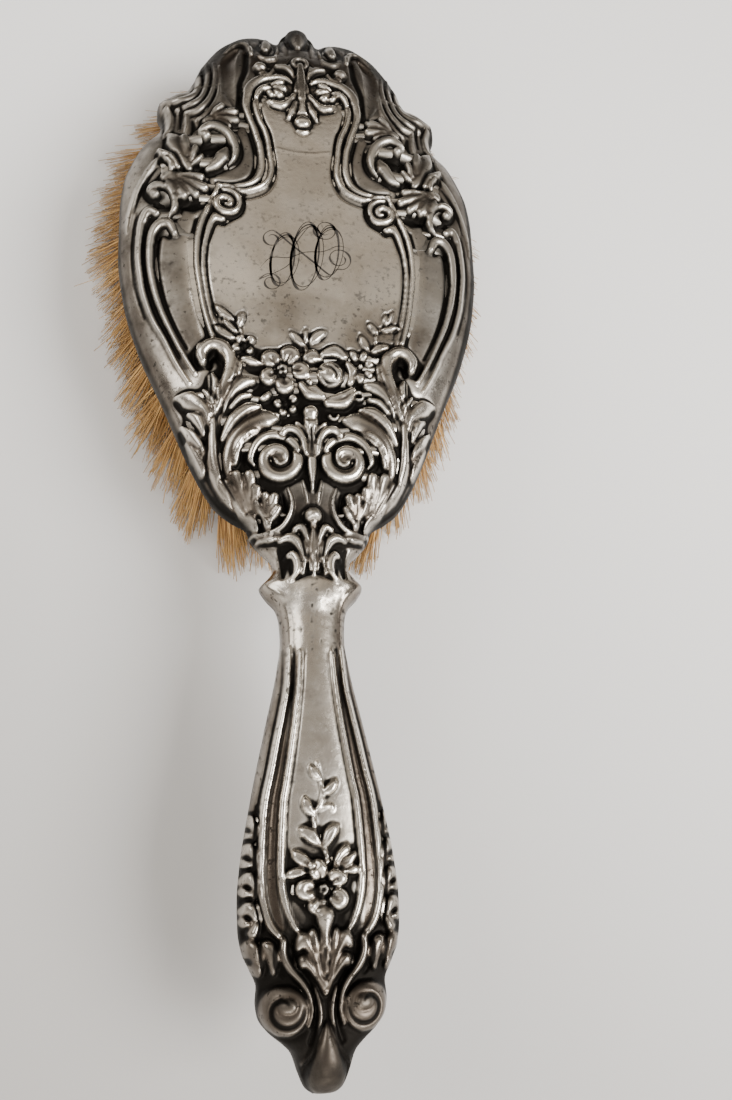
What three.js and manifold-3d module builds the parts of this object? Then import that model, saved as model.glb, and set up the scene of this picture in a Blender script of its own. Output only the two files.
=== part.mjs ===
// Vanity hairbrush: a stamped silver back and hollow handle over a drilled wooden block of bristles.
// Millimetres, +Z up. The brush stands on its bristle tips (z = 0) with the silver back uppermost,
// the handle towards -Y and the head towards +Y. Distances "from the tip" start at the handle's end.

import * as THREE from 'three';
import { mergeVertices } from 'three/addons/utils/BufferGeometryUtils.js';
import Module from 'manifold-3d';

const wasm = await Module();
wasm.setup();

// Driving sizes
const LENGTH = 241.5;
const CLEARANCE = 0.3;
const SHELL_WALL = 1.0;

// Heights above the bristle tips
const BLOCK_BOTTOM = 21;
const BLOCK_TOP = 26.8;
const HEAD_SEAM = 25.1;
const HANDLE_SEAM = 26.5;
const HEAD_CROWN = 9.3;
const HANDLE_CROWN = 7;
const HANDLE_BELLY = 5.6;
const RIM_THICKNESS = 2.2;
const RIM_TOP = HEAD_SEAM - CLEARANCE;

// Where one stretch of the brush gives way to the next, from the tip
const NECK_END = 95;
const HEAD_START = 116;
const THROAT = 107;
const SIDE_END = 226.5;

// Curvature of the silver back: how far from its edges the crown starts to roll over
const HEAD_ROLL = 15;
const HEAD_ROLL_POWER = 1.8;
const HANDLE_ROLL_POWER = 2.2;
const TOP_FALL_START = 200;
const TOP_FALL = 44;

// Bristles
const ROW_COUNT = 14;
const ROW_FIRST = 121;
const ROW_LAST = 225.5;
const TUFT_PITCH = 8;
const TUFT_MARGIN = 3;
const TUFT_SIDES = 6;
const ROOT_RADIUS = 1.15;
const HOLE_RADIUS = 1.5;
const TIP_ROW_FIRST = 110;
const TIP_ROW_LAST = 235.5;
const TIP_MARGIN = 4.5;
const TIP_OVERLAP = 0.4;

// Wires, board, tang and pins
const WIRE_RADIUS = 0.35;
const WIRE_OVERHANG = 2;
const WIRE_HEIGHT = BLOCK_TOP + 0.2 + WIRE_RADIUS;
const BOARD_BOTTOM = 27.9;
const BOARD_THICKNESS = 0.6;
const TANG_WIDTH = 6;
const TANG_BOTTOM = BLOCK_TOP + CLEARANCE;
const TANG_THICKNESS = 1.5;
const TANG_START = 40;
const TANG_END = 118;
const PIN_RADIUS = 0.9;
const PIN_BOTTOM = 23;
const PIN_TOP = TANG_BOTTOM + TANG_THICKNESS + 0.5;
const INSET_FADE = 30;
const END_WALL_SLOPE = 0.6;
const FILLER_START = 4;
const FILLER_END = 104;
const FILLER_GAP = 1.1;
const PIN_PLACES = { tang_pin_lower: 112.2, tang_pin_upper: 115.6 };

// Half width of the silver back at distances from the tip
const SIDE_KNOTS = [
  [0, 2], [1, 3.4], [3.4, 4.6], [7, 6], [8.5, 7.5], [10.5, 10], [13, 11.8], [15.5, 12.2], [18, 12],
  [21, 13.2], [24, 14.6], [28, 15.3], [33, 15.4], [38, 15], [51, 12.8], [65, 9.8], [76, 7.4],
  [82, 6.6], [86, 6.8], [88.8, 7.6], [91, 9.6], [93.3, 10.8], [95, 9.3], [97, 8], [98.6, 8.3],
  [101, 10.5], [103.5, 12.5], [106, 13.4], [108, 16.5], [110.5, 19.5], [115, 22.5], [121, 25.5],
  [134, 31], [148, 37], [160, 40.4], [172, 41.9], [184, 42], [191, 41.4], [197, 39.5],
  [202, 37], [206, 33.7], [208, 33.3], [211, 34.2], [213.5, 34.2], [215.5, 33], [216.2, 31.5],
  [216.8, 29.5], [218.4, 27.7], [221.6, 26], [SIDE_END, 24.2],
];

// Distance from the tip of the head's upper edge: centre ball, notch, then the rounded lobe
const TOP_KNOTS = [
  [0, LENGTH], [2.4, 240.9], [4.2, 239.1], [5.2, 236.9], [7.3, 238], [10.2, 238.5], [13.6, 237.9],
  [16.9, 235.9], [19.8, 233.3], [22, 230.2], [24.2, SIDE_END],
];

// Half width of the bristle block at distances from the tip
const BLOCK_KNOTS = [
  [110, 8], [113, 13.5], [118, 18.8], [128, 23.8], [140, 29.3], [152, 33.6], [165, 36.2], [180, 37],
  [192, 35.8], [202, 32], [212, 27.3], [222, 22.3], [229, 15.5], [232.5, 7],
];

// Half width of the trimmed face of the bristles at distances from the tip
const TIP_KNOTS = [
  [110, 19.5], [120, 28.5], [130, 34.5], [139, 39.5], [149, 43], [168, 47.8], [187, 50.5],
  [199, 50.5], [208, 49], [217, 46], [226, 39.5], [TIP_ROW_LAST, 31],
];

// Fractions of the half width at which the shells are faceted
const FINE_FRACTIONS = [0, 0.1, 0.175, 0.215, 0.3, 0.42, 0.56, 0.7, 0.82, 0.91, 0.97, 1];
const COARSE_FRACTIONS = [0, 0.3, 0.56, 0.8, 0.94, 1];

const SILVER = { color: 0xb9b3a8, roughness: 0.3, metalness: 1 };
const WOOD = { color: 0x8a5a33, roughness: 0.5, metalness: 0 };
const BRISTLE = { color: 0xc79a5b, roughness: 0.7, metalness: 0 };
const BRASS = { color: 0xb08a44, roughness: 0.35, metalness: 1 };
const STEEL = { color: 0x8d8f92, roughness: 0.4, metalness: 1 };
const PITCH = { color: 0x6b5a48, roughness: 0.9, metalness: 0 };

// Straight interpolation through [place, value] knots, held level past both ends
function throughKnots(knots) {
  return (place) => {
    const next = knots.findIndex((knot) => knot[0] >= place);
    if (next === 0) {
      return knots[0][1];
    }
    if (next < 0) {
      return knots[knots.length - 1][1];
    }
    const [startPlace, startValue] = knots[next - 1];
    const [endPlace, endValue] = knots[next];
    return THREE.MathUtils.mapLinear(place, startPlace, endPlace, startValue, endValue);
  };
}

const sideWidth = throughKnots(SIDE_KNOTS);
const topEdge = throughKnots(TOP_KNOTS);
const blockWidth = throughKnots(BLOCK_KNOTS);
const tipWidth = throughKnots(TIP_KNOTS);

const toY = (fromTip) => fromTip - LENGTH / 2;

// Both signs of a list of fractions from 0 to 1, from -1 to 1
function mirrored(fractions) {
  const left = fractions.slice(1).reverse().map((fraction) => -fraction);
  return [...left, ...fractions];
}

// 0 to 1 to 0 quarter-oval fall from the middle (0) to the edge (1)
function roll(fraction, power) {
  const limited = Math.min(Math.abs(fraction), 1);
  return (1 - limited ** power) ** (1 / power);
}

// Height of the seam between the front and the rear of the shells
function seam(fromTip) {
  const blend = THREE.MathUtils.smoothstep(fromTip, NECK_END, HEAD_START);
  return THREE.MathUtils.lerp(HANDLE_SEAM, HEAD_SEAM, blend);
}

// Rounding of the handle's end, 0 at the very tip and 1 past it
function tipRounding(fromTip) {
  return roll(1 - Math.min(fromTip / 9, 1), 2);
}

// Rise of the silver back above its seam: a level crown that rolls over towards every edge
function backRise(x, fromTip, thinner = 0) {
  const blend = THREE.MathUtils.smoothstep(fromTip, NECK_END, HEAD_START);
  const crown = THREE.MathUtils.lerp(HANDLE_CROWN, HEAD_CROWN, blend) - thinner;
  const width = sideWidth(Math.min(fromTip, SIDE_END)) - thinner;
  const top = topEdge(Math.abs(x)) - thinner;
  const fromEdge = Math.max(Math.min(width - Math.abs(x), top - fromTip), 0);
  const headRoll = roll(1 - Math.min(fromEdge / HEAD_ROLL, 1), HEAD_ROLL_POWER);
  const edgeRoll = THREE.MathUtils.lerp(roll(x / width, HANDLE_ROLL_POWER), headRoll, blend);
  const topFall = roll(Math.max(fromTip - TOP_FALL_START, 0) / TOP_FALL, HEAD_ROLL_POWER);
  return crown * edgeRoll * topFall * tipRounding(fromTip - thinner);
}

// Depth of the handle's rear half below the seam
function bellyDepth(x, fromTip, thinner = 0) {
  const blend = THREE.MathUtils.smoothstep(fromTip, NECK_END - 10, THROAT);
  const atThroat = HEAD_SEAM - (RIM_TOP - RIM_THICKNESS);
  const belly = THREE.MathUtils.lerp(HANDLE_BELLY, atThroat, blend) - thinner;
  const width = sideWidth(fromTip) - thinner;
  return belly * roll(x / width, HANDLE_ROLL_POWER) * tipRounding(fromTip - thinner);
}

// A geometry from vertex triples and triangle index triples
function meshOf(vertices, triangles) {
  const geometry = new THREE.BufferGeometry();
  geometry.setAttribute('position', new THREE.Float32BufferAttribute(vertices.flat(), 3));
  geometry.setIndex(triangles.flat());
  return geometry;
}

// A closed body between two grids of points whose edges are joined by a strip.
// The first grid faces up and the second faces down.
function bodyBetween(upper, lower) {
  const rows = upper.length;
  const columns = upper[0].length;
  const lowerStart = rows * columns;
  const vertices = [...upper.flat(), ...lower.flat()];
  const triangles = [];
  const quad = (a, b, c, d) => triangles.push([a, b, c], [a, c, d]);
  for (let row = 0; row < rows - 1; row += 1) {
    for (let column = 0; column < columns - 1; column += 1) {
      const a = row * columns + column;
      const b = a + 1;
      const c = b + columns;
      const d = a + columns;
      quad(a, b, c, d);
      quad(a + lowerStart, d + lowerStart, c + lowerStart, b + lowerStart);
    }
  }
  const border = [];
  for (let column = 0; column < columns - 1; column += 1) border.push(column);
  for (let row = 0; row < rows - 1; row += 1) border.push(row * columns + columns - 1);
  for (let column = columns - 1; column > 0; column -= 1) border.push((rows - 1) * columns + column);
  for (let row = rows - 1; row > 0; row -= 1) border.push(row * columns);
  border.forEach((a, index) => {
    const b = border[(index + 1) % border.length];
    quad(b, a, a + lowerStart, b + lowerStart);
  });
  return meshOf(vertices, triangles);
}

// A place moved away from the tip by the inset, which fades out along the handle
function clearOfTip(place, inset) {
  return place + inset * Math.max(1 - place / INSET_FADE, 0);
}

// Plan of the whole silver back: rows across it from the tip to the head's upper edge
function backPlan(inset) {
  const fractions = mirrored(FINE_FRACTIONS);
  const lastStraight = 218.4;
  const places = SIDE_KNOTS.map((knot) => knot[0]).filter((place) => place <= lastStraight);
  const straightRows = places.map((place) => {
    const fromTip = clearOfTip(place, inset);
    const width = sideWidth(place) - inset;
    return fractions.map((fraction) => [fraction * width, fromTip]);
  });
  const shoulders = [0.2, 0.4, 0.6, 0.75, 0.88, 0.96, 1];
  const topRows = shoulders.map((share) => {
    const sidePlace = THREE.MathUtils.lerp(lastStraight, SIDE_END, share);
    const width = sideWidth(sidePlace) - inset;
    return fractions.map((fraction) => {
      const edge = topEdge(Math.abs(fraction) * sideWidth(SIDE_END)) - inset;
      return [fraction * width, THREE.MathUtils.lerp(lastStraight, edge, share)];
    });
  });
  return [...straightRows, ...topRows];
}

// Silver back: the back of the head and the front of the handle, stamped in one sheet
function backShell() {
  const outer = backPlan(0).map((row) =>
    row.map(([x, fromTip]) => [x, toY(fromTip), seam(fromTip) + backRise(x, fromTip)]));
  const inner = backPlan(SHELL_WALL).map((row) =>
    row.map(([x, fromTip]) => [x, toY(fromTip), seam(fromTip) + backRise(x, fromTip, SHELL_WALL)]));
  return bodyBetween(outer, inner);
}

// Rear half of the hollow handle, soldered to the back along the seam and closed at the throat
function handleRearShell() {
  const knots = SIDE_KNOTS.map((knot) => knot[0]).filter((place) => place < THROAT - 3);
  const surface = (inset) => {
    const end = THROAT - inset;
    const places = [...knots.filter((place) => place < end - END_WALL_SLOPE), end - END_WALL_SLOPE, end];
    return places.map((place) => mirrored(COARSE_FRACTIONS).map((fraction) => {
      const x = fraction * (sideWidth(place) - inset);
      const fromTip = clearOfTip(place, inset);
      const depth = place === end ? 0 : bellyDepth(x, fromTip, inset);
      return [x, toY(fromTip), seam(fromTip) - CLEARANCE - depth];
    }));
  };
  return bodyBetween(surface(SHELL_WALL), surface(0));
}

// A closed outline of the head from its throat round the top, moved inwards by the inset
function headOutline(inset) {
  const sides = SIDE_KNOTS.filter(([place]) => place > THROAT + 0.5 && place < SIDE_END);
  const right = [[sideWidth(THROAT + 0.5), THROAT + 0.5], ...sides.map(([place, width]) => [width, place])];
  const top = TOP_KNOTS.slice(1).reverse();
  const half = [...right, ...top];
  const left = half.map(([x, fromTip]) => [-x, fromTip]).reverse();
  const loop = [...half, [0, LENGTH], ...left];
  return loop.map(([x, fromTip], index) => {
    const before = loop[(index + loop.length - 1) % loop.length];
    const after = loop[(index + 1) % loop.length];
    const along = new THREE.Vector2(after[0] - before[0], after[1] - before[1]).normalize();
    return new THREE.Vector2(x - along.y * inset, toY(fromTip) + along.x * inset);
  });
}

// The bristle block's rounded outline, grown outwards or shrunk by the offset
function blockOutline(offset) {
  const shrink = (place) => THREE.MathUtils.mapLinear(
    place, BLOCK_KNOTS[0][0], BLOCK_KNOTS[BLOCK_KNOTS.length - 1][0], -offset, offset);
  const right = BLOCK_KNOTS.map(([place, width]) =>
    new THREE.Vector2(width + offset, toY(place + shrink(place))));
  const left = right.map((point) => new THREE.Vector2(-point.x, point.y)).reverse();
  return [...right, ...left];
}

// A flat plate of the given shape between two heights
function plate(shape, bottom, top) {
  const geometry = new THREE.ExtrudeGeometry(shape, { depth: top - bottom, bevelEnabled: false });
  geometry.translate(0, 0, bottom);
  return geometry;
}

// Silver rim under the edge of the back, which frames and holds the block
function rimBand() {
  const shape = new THREE.Shape(headOutline(SHELL_WALL));
  shape.holes.push(new THREE.Path(blockOutline(CLEARANCE)));
  return plate(shape, RIM_TOP - RIM_THICKNESS, RIM_TOP);
}

// Every row's tufts, evenly spaced: where each root leaves the block and where its tip stands
function bristleRows() {
  return Array.from({ length: ROW_COUNT }, (_, row) => {
    const share = row / (ROW_COUNT - 1);
    const rootPlace = THREE.MathUtils.lerp(ROW_FIRST, ROW_LAST, share);
    const tipPlace = THREE.MathUtils.lerp(TIP_ROW_FIRST, TIP_ROW_LAST, share);
    const rootReach = blockWidth(rootPlace) - TUFT_MARGIN;
    const tipReach = tipWidth(tipPlace) - TIP_MARGIN;
    const gaps = Math.round((2 * rootReach) / TUFT_PITCH);
    return Array.from({ length: gaps + 1 }, (__, tuftIndex) => {
      const across = (2 * tuftIndex) / gaps - 1;
      return {
        root: [across * rootReach, toY(rootPlace)],
        tip: [across * tipReach, toY(tipPlace)],
        tipRadius: tipReach / gaps + TIP_OVERLAP,
      };
    });
  });
}

// Corners of a regular polygon round a place, squashed along Y
function polygon([x, y], radiusX, radiusY) {
  return Array.from({ length: TUFT_SIDES }, (_, side) => {
    const angle = (side / TUFT_SIDES) * 2 * Math.PI;
    return new THREE.Vector2(x + radiusX * Math.cos(angle), y + radiusY * Math.sin(angle));
  });
}

// Wooden block with one hole for every tuft
function bristleBlock(rows) {
  const shape = new THREE.Shape(blockOutline(0));
  rows.flat().forEach(({ root }) => {
    shape.holes.push(new THREE.Path(polygon(root, HOLE_RADIUS, HOLE_RADIUS)));
  });
  Object.values(PIN_PLACES).forEach((place) => {
    shape.holes.push(new THREE.Path(polygon([0, toY(place)], HOLE_RADIUS, HOLE_RADIUS)));
  });
  return plate(shape, BLOCK_BOTTOM, BLOCK_TOP);
}

// One tuft: a straight root in its hole, then a bundle that spreads to its flat-cut tip
function tuft({ root, tip, tipRadius }) {
  const halfPitch = (TIP_ROW_LAST - TIP_ROW_FIRST) / (ROW_COUNT - 1) / 2;
  const tipRadiusY = (halfPitch - CLEARANCE / 2) / Math.sin(Math.PI / 3);
  const rings = [
    { corners: polygon(tip, tipRadius, tipRadiusY), z: 0 },
    { corners: polygon(root, ROOT_RADIUS, ROOT_RADIUS), z: BLOCK_BOTTOM - CLEARANCE },
    { corners: polygon(root, ROOT_RADIUS, ROOT_RADIUS), z: BLOCK_TOP },
  ];
  const vertices = rings.flatMap(({ corners, z }) => corners.map((corner) => [corner.x, corner.y, z]));
  const triangles = [];
  for (let ring = 0; ring < rings.length - 1; ring += 1) {
    for (let side = 0; side < TUFT_SIDES; side += 1) {
      const a = ring * TUFT_SIDES + side;
      const b = ring * TUFT_SIDES + ((side + 1) % TUFT_SIDES);
      triangles.push([a, b, b + TUFT_SIDES], [a, b + TUFT_SIDES, a + TUFT_SIDES]);
    }
  }
  const last = (rings.length - 1) * TUFT_SIDES;
  for (let side = 1; side < TUFT_SIDES - 1; side += 1) {
    triangles.push([0, side + 1, side], [last, last + side, last + side + 1]);
  }
  return meshOf(vertices, triangles);
}

// A manifold solid of a closed geometry
function solidOf(geometry) {
  const bare = geometry.clone();
  bare.deleteAttribute('normal');
  bare.deleteAttribute('uv');
  const merged = mergeVertices(bare);
  const mesh = new wasm.Mesh({
    numProp: 3,
    vertProperties: merged.getAttribute('position').array,
    triVerts: new Uint32Array(merged.getIndex().array),
  });
  return new wasm.Manifold(mesh);
}

// A geometry of a manifold solid
function geometryOf(solid) {
  const { vertProperties, triVerts } = solid.getMesh();
  const geometry = new THREE.BufferGeometry();
  geometry.setAttribute('position', new THREE.Float32BufferAttribute(vertProperties, 3));
  geometry.setIndex(new THREE.Uint32BufferAttribute(triVerts, 1));
  return geometry;
}

// The tufts of one row, joined where their spread tips meet
function bristleRow(tufts) {
  return geometryOf(tufts.map((place) => solidOf(tuft(place))).reduce((row, next) => row.add(next)));
}

// The wire behind the block that draws the tufts of one row into their holes
function drawingWire(tufts) {
  const reach = tufts[tufts.length - 1].root[0] + WIRE_OVERHANG;
  const wire = new THREE.CylinderGeometry(WIRE_RADIUS, WIRE_RADIUS, 2 * reach, TUFT_SIDES);
  wire.rotateZ(Math.PI / 2);
  wire.translate(0, tufts[0].root[1], WIRE_HEIGHT);
  return wire;
}

// Thin wooden board that covers the wires
function backingBoard() {
  const shrink = 2.5;
  const first = TANG_END + CLEARANCE;
  const outline = blockOutline(-shrink).map((point) => {
    point.y = THREE.MathUtils.clamp(point.y, toY(first), toY(ROW_LAST + WIRE_OVERHANG));
    return point;
  });
  return plate(new THREE.Shape(outline), BOARD_BOTTOM, BOARD_BOTTOM + BOARD_THICKNESS);
}

// Pitch between the board and the silver back
function headFiller() {
  const bottom = BOARD_BOTTOM + BOARD_THICKNESS + CLEARANCE;
  const places = [118, 128, 140, 152, 165, 180, 192, 202, 212, 220];
  const plan = places.map((place) => mirrored(COARSE_FRACTIONS).map((fraction) =>
    [fraction * (blockWidth(place) - 4), place]));
  const upper = plan.map((row) => row.map(([x, fromTip]) => {
    const ceiling = seam(fromTip) + backRise(x, fromTip, SHELL_WALL);
    return [x, toY(fromTip), ceiling - FILLER_GAP];
  }));
  const lower = plan.map((row) => row.map(([x, fromTip]) => [x, toY(fromTip), bottom]));
  return bodyBetween(upper, lower);
}

// A straight bar with square corners between two distances from the tip
function bar(width, start, end, bottom, top) {
  const geometry = new THREE.BoxGeometry(width, end - start, top - bottom);
  geometry.translate(0, toY((start + end) / 2), (bottom + top) / 2);
  return geometry;
}

// Pitch inside the handle, with the tang bedded in it
function handleFiller() {
  const inset = SHELL_WALL + 2 * CLEARANCE;
  const places = SIDE_KNOTS.map((knot) => knot[0])
    .filter((place) => place > FILLER_START && place < FILLER_END);
  const surface = (height) => places.map((place) => mirrored(COARSE_FRACTIONS).map((fraction) => {
    const x = fraction * (sideWidth(place) - inset - 0.5);
    return [x, toY(place), height(x, place)];
  }));
  const upper = surface((x, place) => seam(place) + backRise(x, place, inset) - CLEARANCE);
  const lower = surface((x, place) => seam(place) - CLEARANCE - bellyDepth(x, place, inset) + CLEARANCE);
  const slot = bar(TANG_WIDTH + 2 * CLEARANCE, TANG_START - CLEARANCE, TANG_END,
    TANG_BOTTOM - CLEARANCE, TANG_BOTTOM + TANG_THICKNESS + CLEARANCE);
  return geometryOf(solidOf(bodyBetween(upper, lower)).subtract(solidOf(slot)));
}

// A round pin, or the hole for one, standing at a distance from the tip
function pin(radius, fromTip, bottom, top) {
  const geometry = new THREE.CylinderGeometry(radius, radius, top - bottom, 2 * TUFT_SIDES);
  geometry.rotateX(Math.PI / 2);
  geometry.translate(0, toY(fromTip), (top + bottom) / 2);
  return geometry;
}

// Steel tang that carries the handle, pinned to the block
function handleTang() {
  const top = TANG_BOTTOM + TANG_THICKNESS;
  const strap = solidOf(bar(TANG_WIDTH, TANG_START, TANG_END, TANG_BOTTOM, top));
  const drilled = Object.values(PIN_PLACES).reduce((rest, place) =>
    rest.subtract(solidOf(pin(PIN_RADIUS + CLEARANCE, place, PIN_BOTTOM, PIN_TOP))), strap);
  return geometryOf(drilled);
}

const brush = new THREE.Group();

function addPart(name, geometry, finish) {
  const mesh = new THREE.Mesh(geometry, new THREE.MeshStandardMaterial(finish));
  mesh.name = name;
  brush.add(mesh);
}

const rows = bristleRows();

addPart('back_shell', backShell(), SILVER);
addPart('handle_rear_shell', handleRearShell(), SILVER);
addPart('rim_band', rimBand(), SILVER);
addPart('bristle_block', bristleBlock(rows), WOOD);
addPart('backing_board', backingBoard(), WOOD);
addPart('head_filler', headFiller(), PITCH);
addPart('handle_filler', handleFiller(), PITCH);
addPart('handle_tang', handleTang(), STEEL);
Object.entries(PIN_PLACES).forEach(([name, place]) => {
  addPart(name, pin(PIN_RADIUS, place, PIN_BOTTOM, PIN_TOP), BRASS);
});
rows.forEach((tufts, row) => {
  const number = String(row + 1).padStart(2, '0');
  addPart(`bristle_row_${number}`, bristleRow(tufts), BRISTLE);
  addPart(`drawing_wire_${number}`, drawingWire(tufts), BRASS);
});

export default brush;
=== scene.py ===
# Vanity hairbrush: worn silver back with chased ornament, wooden block and natural bristles.
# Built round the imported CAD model. Sizes below are in millimetres; MM turns them into metres.
# "t" is the distance from the handle's tip along the brush, and "x" is the distance from its middle.

import math

import bpy
import numpy as np
from mathutils import Matrix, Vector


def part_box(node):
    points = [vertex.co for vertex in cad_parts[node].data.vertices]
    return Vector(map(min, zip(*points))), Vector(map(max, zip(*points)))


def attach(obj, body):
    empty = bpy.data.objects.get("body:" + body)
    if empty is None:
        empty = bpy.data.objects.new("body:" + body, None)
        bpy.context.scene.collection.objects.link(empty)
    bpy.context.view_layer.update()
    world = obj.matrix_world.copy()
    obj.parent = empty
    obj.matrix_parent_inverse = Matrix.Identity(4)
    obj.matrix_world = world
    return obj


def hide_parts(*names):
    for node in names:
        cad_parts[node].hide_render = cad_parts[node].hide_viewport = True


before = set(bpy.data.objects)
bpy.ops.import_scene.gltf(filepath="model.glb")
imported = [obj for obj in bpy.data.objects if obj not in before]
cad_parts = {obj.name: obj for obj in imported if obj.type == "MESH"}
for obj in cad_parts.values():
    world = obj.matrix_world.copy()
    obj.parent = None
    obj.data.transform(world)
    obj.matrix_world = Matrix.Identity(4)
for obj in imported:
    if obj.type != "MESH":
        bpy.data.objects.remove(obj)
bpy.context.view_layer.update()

MM = 0.001
SEED = 7


def box_mm(node):
    low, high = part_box(node)
    return np.array(low) / MM, np.array(high) / MM


SHELL_LOW, SHELL_HIGH = box_mm("back_shell")
RIM_TOP = box_mm("rim_band")[1][2]
BLOCK_BOTTOM = box_mm("bristle_block")[0][2]
REAR_LOW, REAR_HIGH = box_mm("handle_rear_shell")
LENGTH = SHELL_HIGH[1] - SHELL_LOW[1]
CLEARANCE = 0.3
HEAD_SEAM = RIM_TOP + CLEARANCE
HANDLE_SEAM = REAR_HIGH[2] + CLEARANCE
HEAD_CROWN = SHELL_HIGH[2] - HEAD_SEAM - 0.4
HANDLE_CROWN = 6.8
HANDLE_BELLY = HANDLE_SEAM - CLEARANCE - REAR_LOW[2]
NECK_END = 95
HEAD_START = 116
THROAT = 107
SHELL_WALL = 1.0

# (distance from the tip, half width of the silver back)
SIDE_KNOTS = [
    (0, 2), (1, 3.4), (3.4, 4.6), (7, 6), (8.5, 7.5), (10.5, 10), (13, 11.8), (15.5, 12.2), (18, 12),
    (21, 13.2), (24, 14.6), (28, 15.3), (33, 15.4), (38, 15), (51, 12.8), (65, 9.8), (76, 7.4),
    (82, 6.6), (86, 6.8), (88.8, 7.6), (91, 9.6), (93.3, 10.8), (95, 9.3), (97, 8), (98.6, 8.3),
    (101, 10.5), (103.5, 12.5), (106, 13.4), (108, 16.5), (110.5, 19.5), (115, 22.5), (121, 25.5),
    (134, 31), (148, 37), (160, 40.4), (172, 41.9), (184, 42), (191, 41.4), (197, 39.5), (202, 37),
    (206, 33.7), (208, 33.3), (211, 34.2), (213.5, 34.2), (215.5, 33), (216.2, 31.5), (216.8, 29.5),
    (218.4, 27.7), (221.6, 26), (226.5, 24.2),
]

# (distance from the middle, distance from the tip) along the head's upper edge
TOP_KNOTS = [
    (0, 241.5), (2.4, 240.9), (4.2, 239.1), (5.2, 236.9), (7.3, 238), (10.2, 238.5), (13.6, 237.9),
    (16.9, 235.9), (19.8, 233.3), (22, 230.2), (24.2, 226.5),
]
SIDE_END, TOP_REACH = 226.5, 24.2

# Past this distance the rows of the back's mesh fan out towards the upper edge
LAST_STRAIGHT = 218.4


# ---------------------------------------------------------------- curves and small maths

def smooth_curve(knots):
    """A function that passes through (place, value) knots without overshooting between them."""
    place, value = np.array(knots, float).T
    slope = np.diff(value) / np.diff(place)
    step = np.diff(place)
    tangent = np.zeros(len(place))
    tangent[0], tangent[-1] = slope[0], slope[-1]
    for i in range(1, len(place) - 1):
        if slope[i - 1] * slope[i] > 0:
            near, far = 2 * step[i] + step[i - 1], step[i] + 2 * step[i - 1]
            tangent[i] = (near + far) / (near / slope[i - 1] + far / slope[i])

    def at(where):
        where = np.clip(np.asarray(where, float), place[0], place[-1])
        i = np.clip(np.searchsorted(place, where) - 1, 0, len(place) - 2)
        s = (where - place[i]) / step[i]
        return ((1 + 2 * s) * (1 - s) ** 2 * value[i] + s * (1 - s) ** 2 * step[i] * tangent[i]
                + s * s * (3 - 2 * s) * value[i + 1] + s * s * (s - 1) * step[i] * tangent[i + 1])
    return at


side_width = smooth_curve(SIDE_KNOTS)
top_edge = smooth_curve(TOP_KNOTS)


def smoothstep(value, low, high):
    s = np.clip((np.asarray(value, float) - low) / (high - low), 0, 1)
    return s * s * (3 - 2 * s)


def roll(fraction, power):
    return (1 - np.clip(np.abs(fraction), 0, 1) ** power) ** (1 / power)


def spline(points, per_span=6):
    """A smooth path through the points."""
    p = np.array(points, float)
    if len(p) < 3:
        return np.linspace(p[0], p[-1], per_span + 1)
    p = np.vstack([2 * p[0] - p[1], p, 2 * p[-1] - p[-2]])
    s = np.linspace(0, 1, per_span, endpoint=False)[:, None]
    spans = []
    for a, b, c, d in zip(p, p[1:], p[2:], p[3:]):
        spans.append(0.5 * (2 * b + (c - a) * s + (2 * a - 5 * b + 4 * c - d) * s ** 2
                            + (3 * b - a - 3 * c + d) * s ** 3))
    return np.vstack(spans + [p[-2][None]])


# ---------------------------------------------------------------- the relief as a height map

PITCH = 0.2
xs = np.arange(-46, 46 + PITCH / 2, PITCH)
ts = np.arange(-2, 244 + PITCH / 2, PITCH)
X, T = np.meshgrid(xs, ts)

# Fields of the map: the relief itself, how solid the ornament is, black marks (some of them painted shade),
# smooth silver, brown tarnish with painted shade, and hollow floors that stay open to the light
height, ornament, ink, polish, tarnish_and_shade, open_floor = (np.zeros_like(X) for _ in range(6))

TRENCH_WIDTH = 0.7
TRENCH_DEPTH = 0.2
TRENCH_CUT = 0.6


def sample(field, x, t):
    """Bilinear value of a field of the height map at any places."""
    col = np.clip((np.asarray(x) - xs[0]) / PITCH, 0, len(xs) - 1.001)
    row = np.clip((np.asarray(t) - ts[0]) / PITCH, 0, len(ts) - 1.001)
    i, j = row.astype(int), col.astype(int)
    v, u = row - i, col - j
    return ((1 - v) * ((1 - u) * field[i, j] + u * field[i, j + 1])
            + v * ((1 - u) * field[i + 1, j] + u * field[i + 1, j + 1]))


def blurred(field, sigma):
    """Gaussian blur; sigma in millimetres."""
    reach = int(math.ceil(2.5 * sigma / PITCH))
    weights = np.exp(-0.5 * (np.arange(-reach, reach + 1) * PITCH / sigma) ** 2)
    weights /= weights.sum()
    for axis in (0, 1):
        padded = np.pad(field, [(reach, reach) if a == axis else (0, 0) for a in (0, 1)], "edge")
        total = np.zeros_like(field)
        for k, weight in enumerate(weights):
            total += weight * np.take(padded, np.arange(k, k + field.shape[axis]), axis)
        field = total
    return field


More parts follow.
